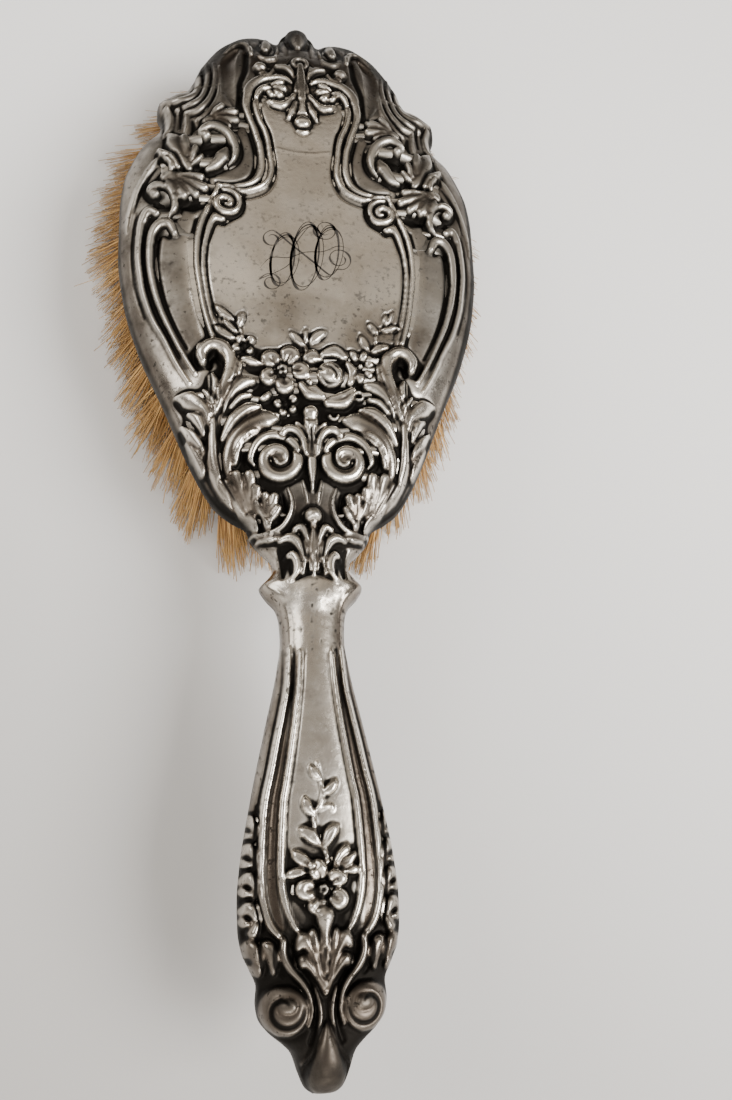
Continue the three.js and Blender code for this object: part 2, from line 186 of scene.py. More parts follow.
def region_distance(polygon, coarse=3):
    """Distance inside (+) or outside (-) a closed polygon, on the whole height map."""
    cx, ct = X[::coarse, ::coarse], T[::coarse, ::coarse]
    nearest = np.full(cx.shape, 1e9)
    inside = np.zeros(cx.shape, bool)
    corners = np.array(polygon, float)
    for (ax, at), (bx, bt) in zip(corners, np.roll(corners, -1, 0)):
        dx, dt = bx - ax, bt - at
        size = dx * dx + dt * dt
        if size < 1e-9:
            continue
        s = np.clip(((cx - ax) * dx + (ct - at) * dt) / size, 0, 1)
        nearest = np.minimum(nearest, (cx - ax - s * dx) ** 2 + (ct - at - s * dt) ** 2)
        if dt:
            inside ^= ((at > ct) != (bt > ct)) & (cx < ax + (ct - at) * dx / dt)
    signed = np.where(inside, 1, -1) * np.sqrt(nearest)
    rows = np.arange(X.shape[0]) / coarse
    cols = np.arange(X.shape[1]) / coarse
    i = np.minimum(rows.astype(int), signed.shape[0] - 2)
    j = np.minimum(cols.astype(int), signed.shape[1] - 2)
    v, u = (rows - i)[:, None], (cols - j)[None]
    return ((1 - v) * ((1 - u) * signed[i][:, j] + u * signed[i][:, j + 1])
            + v * ((1 - u) * signed[i + 1][:, j] + u * signed[i + 1][:, j + 1]))


def window(path, margin):
    """The part of the height map round a path."""
    low = np.min(path, 0) - margin
    high = np.max(path, 0) + margin
    j0, i0 = [max(int((low[k] - axis[0]) / PITCH), 0) for k, axis in enumerate((xs, ts))]
    j1, i1 = [int((high[k] - axis[0]) / PITCH) + 2 for k, axis in enumerate((xs, ts))]
    return slice(i0, i1), slice(j0, j1)


def along(path, radii, where):
    """For every cell of the window: its distance from the path's middle as a share of the radius,
    the radius there, and the gap to the path's edge."""
    x, t = X[where], T[where]
    ratio = np.full(x.shape, 9.0)
    radius = np.full(x.shape, 0.01)
    gap = np.full(x.shape, 99.0)
    for (ax, at), (bx, bt), ra, rb in zip(path, path[1:], radii, radii[1:]):
        dx, dt = bx - ax, bt - at
        size = max(dx * dx + dt * dt, 1e-9)
        s = np.clip(((x - ax) * dx + (t - at) * dt) / size, 0, 1)
        away = np.hypot(x - ax - s * dx, t - at - s * dt)
        r = ra + s * (rb - ra)
        better = away / r < ratio
        ratio = np.where(better, away / r, ratio)
        radius = np.where(better, r, radius)
        gap = np.minimum(gap, away - r)
    return ratio, radius, gap


def raise_shape(where, rise, gap, cut, weight):
    """Sets a raised shape into the height map, with a trench cut round it."""
    old = height[where]
    trench = cut * np.clip(1 - gap / TRENCH_WIDTH, 0, 1) ** 2 * (gap > 0)
    lowered = old * (1 - trench * (old > 0)) - TRENCH_DEPTH * trench
    inside = gap <= 0
    height[where] = np.where(inside, np.maximum(old, rise), lowered)
    ornament[where] = np.maximum(ornament[where], inside * min(weight, 1.0))


def spread(path, widths):
    """Half widths along a path, from one number or from a few that are spaced evenly along it."""
    widths = np.atleast_1d(widths)
    share = np.linspace(0, 1, len(path))
    return np.interp(share, np.linspace(0, 1, len(widths)), widths)


def stroke(points, widths, lift, base=0.0, cut=TRENCH_CUT, power=2.0, weight=None):
    """A raised rounded rib along a path. Its weight is how much the ground round it darkens."""
    path = spline(points)
    radii = spread(path, widths)
    where = window(path, radii.max() + TRENCH_WIDTH)
    ratio, radius, gap = along(path, radii, where)
    taper = np.sqrt(np.clip(radius / radii.max(), 0, 1))
    rise = base + lift * taper * roll(ratio, power)
    raise_shape(where, rise, gap, cut, lift if weight is None else weight)


def mark(field, points, widths, amount):
    """Adds a soft streak along a path to one of the tint fields."""
    path = spline(points)
    radii = spread(path, widths)
    where = window(path, radii.max())
    streak = np.clip(1 - along(path, radii, where)[0] ** 2, 0, 1)
    field[where] = np.maximum(field[where], amount * streak)
    return where, streak


def groove(points, widths, depth, dark=0.0):
    """A rounded furrow along a path, darkened by some ink."""
    where, furrow = mark(ink, points, widths, dark)
    height[where] -= depth * furrow


def leaf(start, end, width, lift, bend=0.0, base=0.0, vein=0.0, cut=TRENCH_CUT):
    """A pointed leaf from its stalk to its tip, with a furrow down its middle."""
    a, b = np.array(start, float), np.array(end, float)
    side = np.array([-(b - a)[1], (b - a)[0]])
    shares = np.linspace(0, 1, 5)
    points = [a + (b - a) * s + side * bend * 4 * s * (1 - s) for s in shares]
    stroke(points, [0.25 * width, 0.8 * width, width, 0.85 * width, 0.2 * width], lift, base, cut)
    if vein:
        groove(points[:4], [0.1, 0.3 * width, 0.12], vein * lift, 0.3)


def ball(x, t, radius_x, radius_t, lift, base=0.0, cut=TRENCH_CUT, dish=0.0, power=2.0):
    """A rounded boss, or a dished petal."""
    where = window(np.array([(x, t)]), max(radius_x, radius_t) + TRENCH_WIDTH)
    ratio = np.hypot((X[where] - x) / radius_x, (T[where] - t) / radius_t)
    gap = (ratio - 1) * min(radius_x, radius_t)
    rise = roll(ratio, power) - dish * np.exp(-(ratio / 0.5) ** 2)
    raise_shape(where, base + lift * rise, gap, cut, lift)


def swell(x, t, radius_x, radius_t, lift):
    """A soft rise or dip without an edge."""
    where = window(np.array([(x, t)]), max(radius_x, radius_t))
    ratio = np.hypot((X[where] - x) / radius_x, (T[where] - t) / radius_t)
    height[where] += lift * np.clip(1 - ratio ** 2, 0, 1) ** 2


def ring(x, t, radius, width, lift, base=0.0, turn=2 * math.pi, start=0.0):
    """A round rib, or a part of one."""
    angles = np.linspace(start, start + turn, 14)
    points = [(x + radius * math.cos(a), t + radius * math.sin(a)) for a in angles]
    stroke(points, width, lift, base)


def flipped(points):
    """The mirror image of a path."""
    return [(-x, t) for x, t in points]


def pair(shape, points, *rest, **named):
    """Draws a path shape on the right and its mirror image on the left."""
    shape(points, *rest, **named)
    shape(flipped(points), *rest, **named)


def pair_strokes(strokes, lift, base=0.0, cut=0.5, fuller=1.2):
    """Draws a list of (points, half widths) on both sides."""
    for points, widths in strokes:
        pair(stroke, points, [fuller * w for w in widths], lift, base, cut=cut)


def pair_leaf(start, end, width, lift, bend=0.0, **named):
    leaf(start, end, width, lift, bend, **named)
    leaf(*flipped([start, end]), width, lift, -bend, **named)


def darken(amount):
    """Lays black over the whole map."""
    ink[:] = np.maximum(ink, amount)


def above(low, high):
    """1 towards the head from a distance along the brush, and 0 before it."""
    return smoothstep(T, low, high)


def below(low, high):
    """1 towards the handle's tip from a distance along the brush, and 0 past it."""
    return 1 - smoothstep(T, low, high)


def near_edge(full, none):
    """1 at the back's edge, and 0 further in."""
    return 1 - smoothstep(edge_distance, full, none)


def pair_ball(x, t, *rest, **named):
    ball(x, t, *rest, **named)
    ball(-x, t, *rest, **named)


# ---------------------------------------------------------------- outline, shield and panels

def back_outline():
    t = np.linspace(0, SIDE_END, 260)
    right = np.stack([side_width(t), t], 1)
    x = np.linspace(TOP_REACH, 0, 50)[1:]
    right = np.vstack([right, np.stack([x, top_edge(x)], 1)])
    return np.vstack([right, right[::-1][1:] * [-1, 1]])


edge_distance = region_distance(back_outline())

FRAME_LINE = [
    (10.3, 213), (11, 211), (11, 208.5), (10.2, 205), (9, 202), (8.3, 199), (8, 196), (7.6, 192),
    (8.2, 188.8), (9.8, 186.6), (12, 185.3), (14.5, 184.7), (17, 185.6), (19.6, 186),
]
FRAME_SIDE = [
    (19.6, 186), (20.5, 183), (22, 179.5), (23.2, 176), (24, 172), (24.2, 168), (24, 164),
    (23.4, 160), (22.5, 154.5), (21, 148.5), (18.5, 142),
]
OUTER_TAIL = [
    (36.2, 177), (36.8, 173), (37, 168), (36.4, 163), (35.6, 158.5), (33.6, 152.5), (31, 147.5),
    (28.4, 142), (25.5, 137),
]
INNER_TAIL = [
    (33.9, 173.4), (34.5, 170), (34.4, 165), (33.4, 159.5), (31.9, 154.5), (29.8, 149.5),
    (27.4, 144.5), (24.3, 139),
]


def shield_region():
    right = spline(FRAME_LINE[::-1] + [(8, 217), (0, 219)], 3)[::-1]
    side = spline(FRAME_SIDE, 3)
    half = [(0, 126)] + [tuple(p) for p in side[::-1]] + [tuple(p) for p in right[::-1]]
    return half + flipped(half[::-1])


shield = region_distance(shield_region())
on_head = T > 140


def draw_panels():
    """The broad levels: raised shield, sunken channel outside it, raised outer border."""
    height[:] += 0.55 * smoothstep(shield, -0.6, 0.6) * on_head
    raised_edge = smoothstep(-shield, 0.3, 2.2) * smoothstep(-shield, 1.0, 4.0)
    darken(0.35 * raised_edge * above(132, 150) * below(226, 238))
    floor = INNER_TAIL[:0:-1] + [(33.9, 176), (33, 190), (30, 200), (22, 201), (22, 186), (24.5, 176),
                                 (25.3, 168), (24.3, 158), (21.5, 147), (19, 141)]
    for points in (floor, flipped(floor)):
        height[:] -= 0.5 * smoothstep(region_distance(points), -0.5, 1.8)
    polish[:] = smoothstep(shield, 0.5, 5) * on_head


def draw_frame():
    """The double line that frames the shield, with its scrolls."""
    crest = [(2.2, 218), (4, 219.3), (8, 219), (10.5, 217.5), (12.3, 215), (13, 212), (13.2, 209),
             (12.5, 206), (11.5, 203), (10.8, 200), (10.1, 198), (9.7, 194), (10, 191), (11, 188.5),
             (13, 186.8), (16, 186), (19.5, 186)]
    pair(stroke, crest, [0.4, 1.0, 1.3, 1.3, 1.2, 1.0, 1.0, 1.0, 0.9, 0.7], 0.6, 0.35, cut=0.5, weight=0.3)
    pair(stroke, FRAME_LINE, [0.5, 0.8, 0.8, 0.75, 0.75, 0.75, 0.75, 0.5], 0.7, 0.5, cut=0.8, weight=0.3)
    pair(groove, [(9.6, 211), (9.9, 208.3), (9, 204.6), (7.9, 202), (7.1, 197), (6.5, 192), (7.1, 188),
                  (8.9, 185), (12, 183.3), (14.4, 182.8)], 0.5, 0.35, 0.65)
    pair(groove, [(11.9, 212), (12.1, 208.5), (11.3, 205), (10, 201.5), (9, 197), (8.7, 192), (9.3, 189),
                  (10.8, 187), (13, 185.9), (16, 185.3)], 0.5, 0.3, 0.35)
    pair(groove, [(14.3, 213), (14.5, 209), (13.7, 205.5), (12.4, 201.5), (11.4, 197), (11.2, 193.5),
                  (12, 190), (14, 188), (17, 187.2), (20, 187.3)], 0.7, 0.5, 0.8)
    pair(stroke, FRAME_SIDE, [0.7, 0.75, 0.8, 0.8, 0.8, 0.8, 0.7], 0.8, 0.35, cut=0.5, weight=0.3)
    inner = [(18.7, 176.8), (20, 177.6), (21.2, 176), (22, 173), (22.7, 170), (22.9, 165),
             (22.4, 160), (21.4, 154), (19.9, 148.5), (17.5, 143)]
    pair(stroke, inner, [0.9, 1.1, 0.8, 0.5, 0.45, 0.45, 0.4, 0.4], 0.6, 0.55, cut=0.5, weight=0.3)
    pair(groove, [(21.2, 178), (22.7, 174), (23.4, 169), (23.5, 165), (22.9, 160), (22, 154.5),
                  (20.4, 148.5)], 0.42, 0.35, 0.7)
    pair(groove, [(18.3, 175.7), (20, 175.7), (21, 173), (21.8, 169), (21.9, 164.5), (21.4, 159.5),
                  (20.2, 153.5), (18.7, 148.5)], [0.7, 0.5, 0.35, 0.35, 0.35, 0.3], 0.4, 0.75)
    pair(groove, [(24.6, 177), (25.3, 173), (25.5, 168), (25.2, 164), (24.6, 159.5), (23.4, 153.5),
                  (21.8, 148)], 0.5, 0.4, 0.8)
    pair(groove, [(14.3, 183.4), (14, 181), (15, 178.3), (17.3, 176.6), (18.7, 175.6)], 0.6, 0.5, 1)
    scroll = [(18.7, 184.7), (16.8, 184.3), (15.2, 182.9), (14.9, 180.8), (16, 179), (18, 178.7),
              (19.7, 179.8), (19.8, 181.6), (18.3, 182.6), (16.8, 181.8), (17, 180.6), (18, 180.7)]
    pair(stroke, scroll, [0.5, 0.8, 0.9, 1.0, 1.0, 0.9, 0.8, 0.6], 1.0, 0.5, cut=0.9)


def draw_outer_lines():
    """Long tapering hooks down both sides, and the border outside them."""
    hook = [(33.8, 182.9), (34.3, 184.6), (32.4, 185.3), (30.3, 184), (29.2, 181.5), (29.3, 178.8),
            (30.6, 176.9)]
    pair(stroke, hook, [1.2, 1.4, 1.2, 1.1, 1.1, 0.9, 0.3], 1.2, 0.3, cut=0.9)
    pair_ball(33.6, 182.8, 1.3, 1.2, 1.3, 0.3)
    pair(stroke, [(33.2, 178.2), (35, 179.2), (36.2, 177.2)] + OUTER_TAIL[1:],
         [0.9, 1.2, 1.1, 0.9, 0.75, 0.7, 0.6, 0.5, 0.4], 0.9, 0.1, cut=0.7, weight=0.3)
    pair(stroke, [(29.2, 172.9), (30.4, 175.3), (32.4, 175.5)] + INNER_TAIL,
         [0.9, 1.3, 1.3, 1.1, 0.9, 0.8, 0.7, 0.6, 0.5], 0.95, 0.0, cut=0.8, weight=0.3)
    pair(groove, [(32.6, 172.6), (32.9, 169), (32.8, 165), (31.9, 160), (30.4, 154.5), (28.3, 149.5),
                  (26, 145)], [0.9, 0.9, 0.7, 0.5, 0.35, 0.25], 0.4, 0.6)
    pair(groove, [(35.7, 176), (35.9, 172), (35.8, 167), (34.9, 161), (33, 154.5), (30.5, 149),
                  (27.5, 143)], [0.6, 0.5, 0.35, 0.3, 0.25], 0.3, 0.6)
    pair(groove, [(37.6, 180), (38.3, 174), (38.3, 167), (37.6, 161), (35.2, 153)],
         [0.3, 0.4, 0.3, 0.2], 0.25, 0.6)
    sides = [(33, 194), (34.4, 192), (36.5, 188.3), (38.3, 184), (39.6, 179.5), (39.9, 175)]
    pair(stroke, sides, [0.4, 0.7, 0.7, 0.6, 0.3], 0.5, 0.05, cut=0.3)
    pair(groove, [(33.3, 191), (35, 188.5), (37, 184.5), (38.2, 180)], [0.3, 0.5, 0.4, 0.2], 0.35, 0.9)


def draw_folds():
    """Drapery-like folds from the lobes down to the ears."""
    outer = [(24.6, 226), (24.5, 221), (24.4, 217), (25.6, 213.5), (28, 211.8), (30.5, 211.6), (33, 213)]
    second = [(22.6, 227), (22.2, 221), (22.7, 216), (23.9, 212), (26, 209.8), (29.3, 209)]
    third = [(20.9, 226), (20.5, 220), (21.1, 214.5), (22.4, 210.5), (24.3, 208), (27, 207.6)]
    fourth = [(19.4, 224), (19.2, 218.5), (19.6, 213), (20.8, 209), (22.6, 206.2), (24.6, 205)]
    pair(stroke, outer, [0.5, 0.9, 1.0, 1.0, 0.9, 0.8, 0.4], 0.55, 0.15, cut=0.3, weight=0.2)
    pair(stroke, second, [0.3, 0.8, 0.9, 0.9, 0.9, 0.7], 0.55, 0.1, cut=0.5, weight=0.2)
    pair(stroke, third, [0.3, 0.6, 0.8, 0.9, 0.9, 0.8], 0.55, 0.05, cut=0.5, weight=0.2)
    pair(stroke, fourth, [0.3, 0.6, 0.8, 0.9, 0.8, 0.4], 0.5, 0.0, cut=0.5, weight=0.2)
    for points in (
        [(23.4, 222), (23.3, 217), (24.3, 213), (26.4, 210.8), (29, 210.2)],
        [(21.5, 221), (21.8, 215.5), (23, 211.3), (25, 208.9), (27.5, 208.3)],
        [(19.9, 220), (20.3, 214), (21.5, 209.6), (23.5, 206.9), (26, 206)],
    ):
        pair(groove, points, [0.15, 0.3, 0.35, 0.35, 0.3], 0.3, 0.65)
    for x in (-28.5, 28.5):
        swell(x, 215, 3.4, 4, 0.9)
    pair(groove, [(28.4, 209.5), (28.3, 206.5), (28.4, 203)], [0.3, 0.6, 0.3], 0.5, 0.95)
    pair(groove, [(25.7, 205), (25.3, 202.5), (25.8, 200)], [0.3, 0.9, 0.6], 0.4, 0.95)
    pair(stroke, [(31.8, 210.5), (31, 207), (31.2, 203.5), (32, 200.5)], [0.9, 1.2, 1.0, 0.4], 0.6, 0.1)
    pair(stroke, [(27, 206.5), (26.9, 203.5), (27.3, 200.5)], [0.5, 0.5, 0.3], 0.5, 0.0)


def draw_top():
    """Ball, bosses, curls and the dark hollows of the head's upper end."""
    hollow = [(15.4, 230), (17.2, 226), (17.8, 220), (17.2, 214), (15.6, 209)]
    pair(groove, hollow, [0.8, 1.8, 2.2, 1.8, 0.6], 0.7, 0.1)
    for points in (hollow, flipped(hollow)):
        mark(open_floor, points, [1.0, 2.0, 2.4, 2.0, 0.8], 1.5)
    pair(groove, [(13, 228), (13.3, 222), (14.6, 217), (15, 212), (15.6, 207)], [0.9, 1.2, 1.0, 0.8, 0.6],
         0.6, 0.95)
    pair(stroke, [(11.9, 227.6), (12.3, 230.6), (13.7, 232.6), (16, 232.3), (18.3, 229)],
         [0.6, 0.8, 0.7, 0.7, 0.2], 0.7, 0.1)
    stroke([(0, 239.3), (0, 236), (0, 233)], [2.9, 2.2, 1.0], 1.6, -0.2, cut=0.9)
    pair(stroke, [(3.6, 236.5), (3.4, 232.5), (2.9, 229)], [0.6, 0.7, 0.3], 0.6, -0.2)
    ring(0, 225, 1.7, 0.7, 0.9)
    pair(stroke, [(7.9, 234.5), (8, 232), (8.3, 230)], [1.0, 1.5, 1.2], 1.2, 0.0, cut=0.9)
    pair(stroke, [(5.6, 228.3), (6.3, 226.5), (8.3, 225.8), (9.9, 227)], [0.4, 0.8, 0.8, 0.4], 0.7)
    pair(stroke, [(5.2, 233), (5.3, 230.5), (5.7, 229)], [0.3, 0.4, 0.3], 0.6, 0.0)
    pair_ball(9.8, 222.4, 1.7, 1.5, 1.1)
    pair_ball(8.9, 220.3, 1.5, 1.0, 0.7)
    pair(stroke, [(5.8, 223.4), (3.7, 223), (2.2, 221.5), (1.6, 219.6)], [0.6, 1.0, 0.9, 0.4], 0.9)
    pair(stroke, [(6.6, 222), (7.4, 220.3), (9, 219.6)], [0.4, 0.6, 0.3], 0.7)
    for x, t, wide in ((9.9, 237.3, 0.35), (12.6, 236.5, 0.3)):
        pair(groove, [(x, t), (x - 0.6, t - 3.5), (x - 0.4, t - 6)], [0.1, wide, wide], 0.3, 0.7)
    for x in (-6, 6):
        swell(x, 215.6, 4.2, 4.2, 0.5)
    for start, end, width in (((7.4, 216), (4.2, 218), 1.1), ((7.2, 215.4), (3.3, 215.6), 1.1),
                              ((7.6, 214.6), (4.2, 213.2), 1.1), ((8.2, 214.6), (6.8, 212.5), 0.9)):
        pair_leaf(start, end, width, 0.9, 0.1, base=0.45, cut=0.9)
    pair(groove, [(3, 214.5), (3.2, 212.5), (5.4, 211.6), (7.6, 211.9), (8.8, 213.4)], 0.4, 0.6, 1)
    pair(stroke, [(7.6, 215.2), (9, 215), (10.3, 213.6), (10.9, 211.8)], [0.5, 0.9, 0.9, 0.6], 0.8, 0.5)


def draw_pendant():
    """Hanging leaf above the shield."""
    stroke([(0, 224), (0, 219.5), (0, 215), (0, 211), (0, 207)], [0.8, 1.3, 2.0, 2.7, 1.6], 1.1, 0.45,
           cut=0.9)
    pair(stroke, [(2, 213.5), (3.2, 211.2), (4.8, 210), (6.6, 210.2), (8, 211.2)],
         [0.7, 1.1, 1.2, 1.1, 0.4], 0.9, 0.45, cut=0.8)
    pair(stroke, [(1.6, 211), (2.4, 208.5), (3.3, 206.3)], [0.7, 1.0, 0.5], 0.9, 0.4, cut=0.8)
    ball(0, 205.3, 2.1, 1.9, 1.1, 0.5, cut=0.9)
    stroke([(-1.3, 203), (0, 202.4), (1.3, 203)], [0.3, 0.5, 0.3], 0.6, 0.5)
    pair(groove, [(1.1, 220), (1.0, 214), (1.3, 208.5)], [0.2, 0.25, 0.2], 0.3, 0.8)
    stroke([(-6.4, 197.3), (-3, 196.6), (0, 196.4), (3, 196.6), (6.4, 197.3)], 0.35, 0.12, 0.5, cut=0.0)


def scalloped_leaf(points, widths, lobes, lift, base=0.15):
    """A broad leaf on both sides: a body, and plump lobes that run from it to the leaf's edge."""
    pair(stroke, points, widths, 0.8 * lift, base, cut=0.95, power=2.6)
    root = np.array(points[0], float)
    for x, t, radius in lobes:
        tip = np.array([x, t])
        path = [tuple(root + share * (tip - root)) for share in (0.4, 0.7, 1)]
        pair(stroke, path, [0.6 * radius, 1.05 * radius, 0.95 * radius], lift, base, cut=0.3)


def draw_side_clusters():
    """Leaves and C scrolls at both shoulders."""
    scalloped_leaf([(22.6, 204), (19.4, 204.9), (16.8, 205.3)], [0.9, 2.3, 1.6],
                   [(18.9, 208.2, 1.0), (15.9, 207, 1.2), (15.7, 204.3, 1.2), (17.5, 202.3, 1.1)], 1.2)
    pair(stroke, [(22.6, 198.6), (23.3, 200.4), (21.4, 202), (18.9, 201.3), (16.9, 199.3), (16, 196.2),
                  (16.2, 193.6), (17.4, 191.6)], [1.1, 1.3, 1.3, 1.3, 1.4, 1.3, 1.0, 0.3], 1.5, 0.2, cut=0.95)
    pair_ball(22.4, 198.9, 1.4, 1.2, 1.5, 0.4)
    for points, widths, depth, dark in (
        ([(19.7, 199.7), (18.7, 198.3), (18.6, 196.8)], [0.6, 0.9, 0.6], 0.5, 1),
        ([(19.2, 198), (20.6, 196.8), (22.6, 196.3)], [0.8, 0.9, 0.6], 0.5, 1),
        ([(24.9, 200.8), (25.1, 198.8), (24.3, 197.4)], [0.5, 0.8, 0.5], 0.4, 0.9),
    ):
        pair(groove, points, widths, depth, dark)
    pair(stroke, [(17.9, 195.6), (18.8, 193.6), (20.4, 191.2), (22.6, 189.6)], [0.9, 1.8, 1.4, 0.4],
         1.4, 0.2, cut=0.95)
    scalloped_leaf([(26.2, 190), (27.8, 194), (29.4, 198), (31, 201.4)], [1.0, 2.3, 2.2, 0.5],
                   [(23.4, 193.2, 0.8), (24.9, 195.6, 1.0), (27.4, 199, 1.1)], 1.2)
    pair(stroke, [(28.6, 190), (30.6, 192.8), (33, 195.6)], [0.8, 1.5, 0.7], 1.2, 0.2, cut=0.9)
    pair(stroke, [(31.6, 193), (30.2, 190.6), (30.6, 188.3), (32.4, 186.5)], [0.4, 0.7, 0.7, 0.4], 0.9, 0.2)
    scalloped_leaf([(31.6, 187.8), (28, 186.4), (24.6, 186)], [1.2, 2.6, 1.9],
                   [(23.4, 187.7, 1.0), (22.7, 185, 1.3), (24.6, 183, 1.2), (27.3, 182.5, 1.3),
                    (29.9, 183.6, 1.1)], 1.2)
    for points, widths, depth in (
        ([(22, 180.6), (25, 180.3), (28, 180.6)], [0.6, 1.6, 0.8], 0.5),
        ([(20.6, 189), (22.5, 189), (24, 190.4)], [0.5, 0.5, 0.4], 0.4),
        ([(30.8, 181), (31.2, 179), (33, 180.6)], [0.7, 1.0, 0.7], 0.5),
        ([(30.2, 172.3), (31.8, 173.4), (32.8, 172)], [0.6, 0.8, 0.6], 0.4),
    ):
        pair(groove, points, widths, depth, 1)


def draw_acanthus():
    """The large acanthus leaves on both sides of the lower head."""
    blade = [(18.6, 137), (19.4, 131), (20, 125), (19.6, 118.5), (17.2, 113), (13.5, 108.5)]
    pair(stroke, blade, [1.2, 2.4, 3.3, 3.5, 2.6, 1.2], 0.5, 0.0)
    pair_strokes((
        ([(20.8, 138), (19.9, 135), (19.3, 131)], [0.7, 1.5, 0.8]),
        ([(22.5, 134.8), (21.1, 132.6), (20.4, 129.5)], [0.4, 0.9, 0.7]),
        ([(28.2, 134.4), (25.4, 133.2), (22.6, 130.4), (21, 126.2)], [0.4, 1.6, 1.5, 0.8]),
        ([(25.6, 130.2), (23.8, 128.7), (22.4, 125.4)], [0.4, 1.0, 0.8]),
        ([(27.1, 128.2), (25, 125.6), (23.2, 122.4), (22, 118.6)], [0.3, 1.1, 1.2, 0.8]),
        ([(26.2, 124.6), (24.4, 121.4), (22.6, 117.8)], [0.3, 1.0, 0.9]),
        ([(15.2, 141.4), (15.9, 138.2), (17.4, 134.4), (18.4, 131.2)], [0.8, 1.3, 1.1, 0.5]),
        ([(12.4, 136.7), (14.2, 136.3), (16.5, 133.8), (18, 130)], [0.9, 1.4, 1.2, 0.5]),
        ([(12.8, 133.3), (14.8, 132.6), (16.8, 130.4)], [0.6, 0.8, 0.5]),
        ([(11, 130.4), (13.3, 130.1), (16.2, 127.8), (18.5, 123.8)], [0.9, 1.5, 1.3, 0.6]),
        ([(10.7, 124.9), (13, 124.5), (15.3, 122.2), (15.9, 118.6)], [0.7, 1.1, 1.0, 0.6]),
        ([(7.3, 128.3), (9.8, 128), (13.3, 126.3), (16.3, 123.2), (17.6, 119), (17, 114.6)],
         [0.7, 2.0, 1.6, 1.3, 1.1, 0.7]),
        ([(20.3, 128.5), (20.7, 123), (20.1, 117.5), (17.6, 112.4), (13.8, 107.6)],
         [0.4, 1.1, 1.2, 1.1, 0.5]),
        ([(22.6, 141.4), (22.9, 143.4), (21.2, 145.2), (18.9, 145.1), (17.2, 143.3), (16.9, 140),
          (18.2, 135.4), (19.8, 130)], [0.9, 1.2, 1.2, 1.2, 1.3, 1.2, 1.1, 0.5]),
    ), 1.4, 0.25)
    pair(groove, [(18.9, 142), (19.9, 143), (21.3, 142.3), (21.2, 140.3)], 0.8, 0.6, 1)
    for points in ([(16.9, 132.4), (18.2, 128.6), (19.1, 125.4)], [(13.9, 118), (14.6, 120.4), (14, 122.6)],
                   [(21.2, 139.5), (20.9, 136), (21.1, 132)], [(22, 127), (21.6, 123), (21.8, 119.6)],
                   [(18.7, 119.6), (18.4, 115.4), (15.8, 110.8)]):
        pair(groove, points, [0.2, 0.4, 0.2], 0.4, 1)


def draw_palmette():
    """Palmette in the middle of the lower head, between two big spirals."""
    x, t = 7, 118.9
    turns = np.arange(0, 46, 2) / 45
    coil = [(x - r * math.cos(a), t + r * math.sin(a))
            for a, r in zip(3.5 + 9.6 * turns, 0.9 + 3.2 * turns ** 0.85)]
    pair_ball(x, t, 4.9, 4.7, 0.7, 0.2, cut=0.95)
    pair(stroke, coil, [1.0, 1.15, 1.25, 1.35], 1.0, 0.5, cut=0.0)
    furrow = [(8.6, 119), (8, 117.8), (6.5, 117.3), (4.9, 118.2), (4.5, 120.3), (5.5, 122.2),
              (7.7, 123.1), (10, 122.4), (11.4, 120.6), (12, 118.4)]
    pair(groove, furrow, [0.45, 0.5, 0.45, 0.45, 0.5, 0.5], 0.95, 1)
    band = [(11.9, 117.6), (12.7, 119.4), (11.4, 122.6), (8.6, 124.5), (5.2, 124), (2.6, 121.6)]
    pair(stroke, band, [0.3, 0.8, 1.0, 1.1, 1.2, 1.0], 0.9, 0.5, cut=0.8)
    stem = [(0, 129.8), (0, 126.5), (0, 122), (0, 117), (0, 112.5)]
    stroke(stem, [1.6, 1.8, 1.4, 1.0, 0.3], 1.1, 0.3)
    ball(0, 130, 1.8, 1.7, 1.35, 0.35)
    groove([(0, 126.4), (0, 123), (0, 119.8)], [0.35, 0.35, 0.15], 0.8, 1)
    pair_leaf((1.1, 125), (3.3, 128), 0.9, 1.0, -0.05, base=0.2)
    pair(stroke, [(1.3, 120.5), (1.8, 123.5), (3.2, 125.6), (5, 125.9), (6.1, 124.9)],
         [0.6, 0.9, 1.1, 1.1, 0.6], 1.2, 0.35, cut=0.9)
    pair(stroke, [(2, 114.8), (1.4, 112), (1.1, 109.8)], [0.2, 0.4, 0.2], 0.7)
    pair(groove, [(3.4, 123.9), (4.6, 124.2), (5.6, 123.4)], 0.35, 0.5, 1)
    ball(0, 106.9, 2.0, 1.9, 1.8, 0.2, cut=0.95)
    ball(0, 104.6, 1.1, 1.2, 0.9, 0.1)


def draw_side_blobs():
    """Lobed leaves low on the head, in the pockets beside the neck."""
    scalloped_leaf([(11.6, 105.2), (13.6, 109), (14.8, 112.6)], [0.8, 2.0, 2.0],
                   [(17.8, 114.6, 1.3), (15.7, 116, 1.4), (13, 115.8, 1.4), (11.4, 113, 1.1)], 1.3)
    scalloped_leaf([(9.2, 105.2), (9.2, 107.6), (9.2, 109.8)], [0.8, 1.5, 1.6],
                   [(11.3, 110, 0.8), (9.7, 111.6, 1.1), (7.9, 111.2, 1.2), (7, 108.8, 0.9)], 1.3)
    pair(groove, [(6.2, 111.8), (5.8, 108.4), (7, 105.4)], [0.3, 0.6, 0.3], 0.5, 1)
    pair_strokes((
        ([(5.1, 113.2), (4.3, 110.5), (4.6, 107.8), (6, 105.4), (8, 104.1), (10.4, 103.7), (12.8, 104.3)],
         [0.3, 0.5, 0.6, 0.7, 0.8, 0.7, 0.4]),
        ([(5, 103.2), (8.5, 102.6), (11.5, 102.7)], [0.4, 0.7, 0.3]),
    ), 0.8, 0.0, fuller=1)


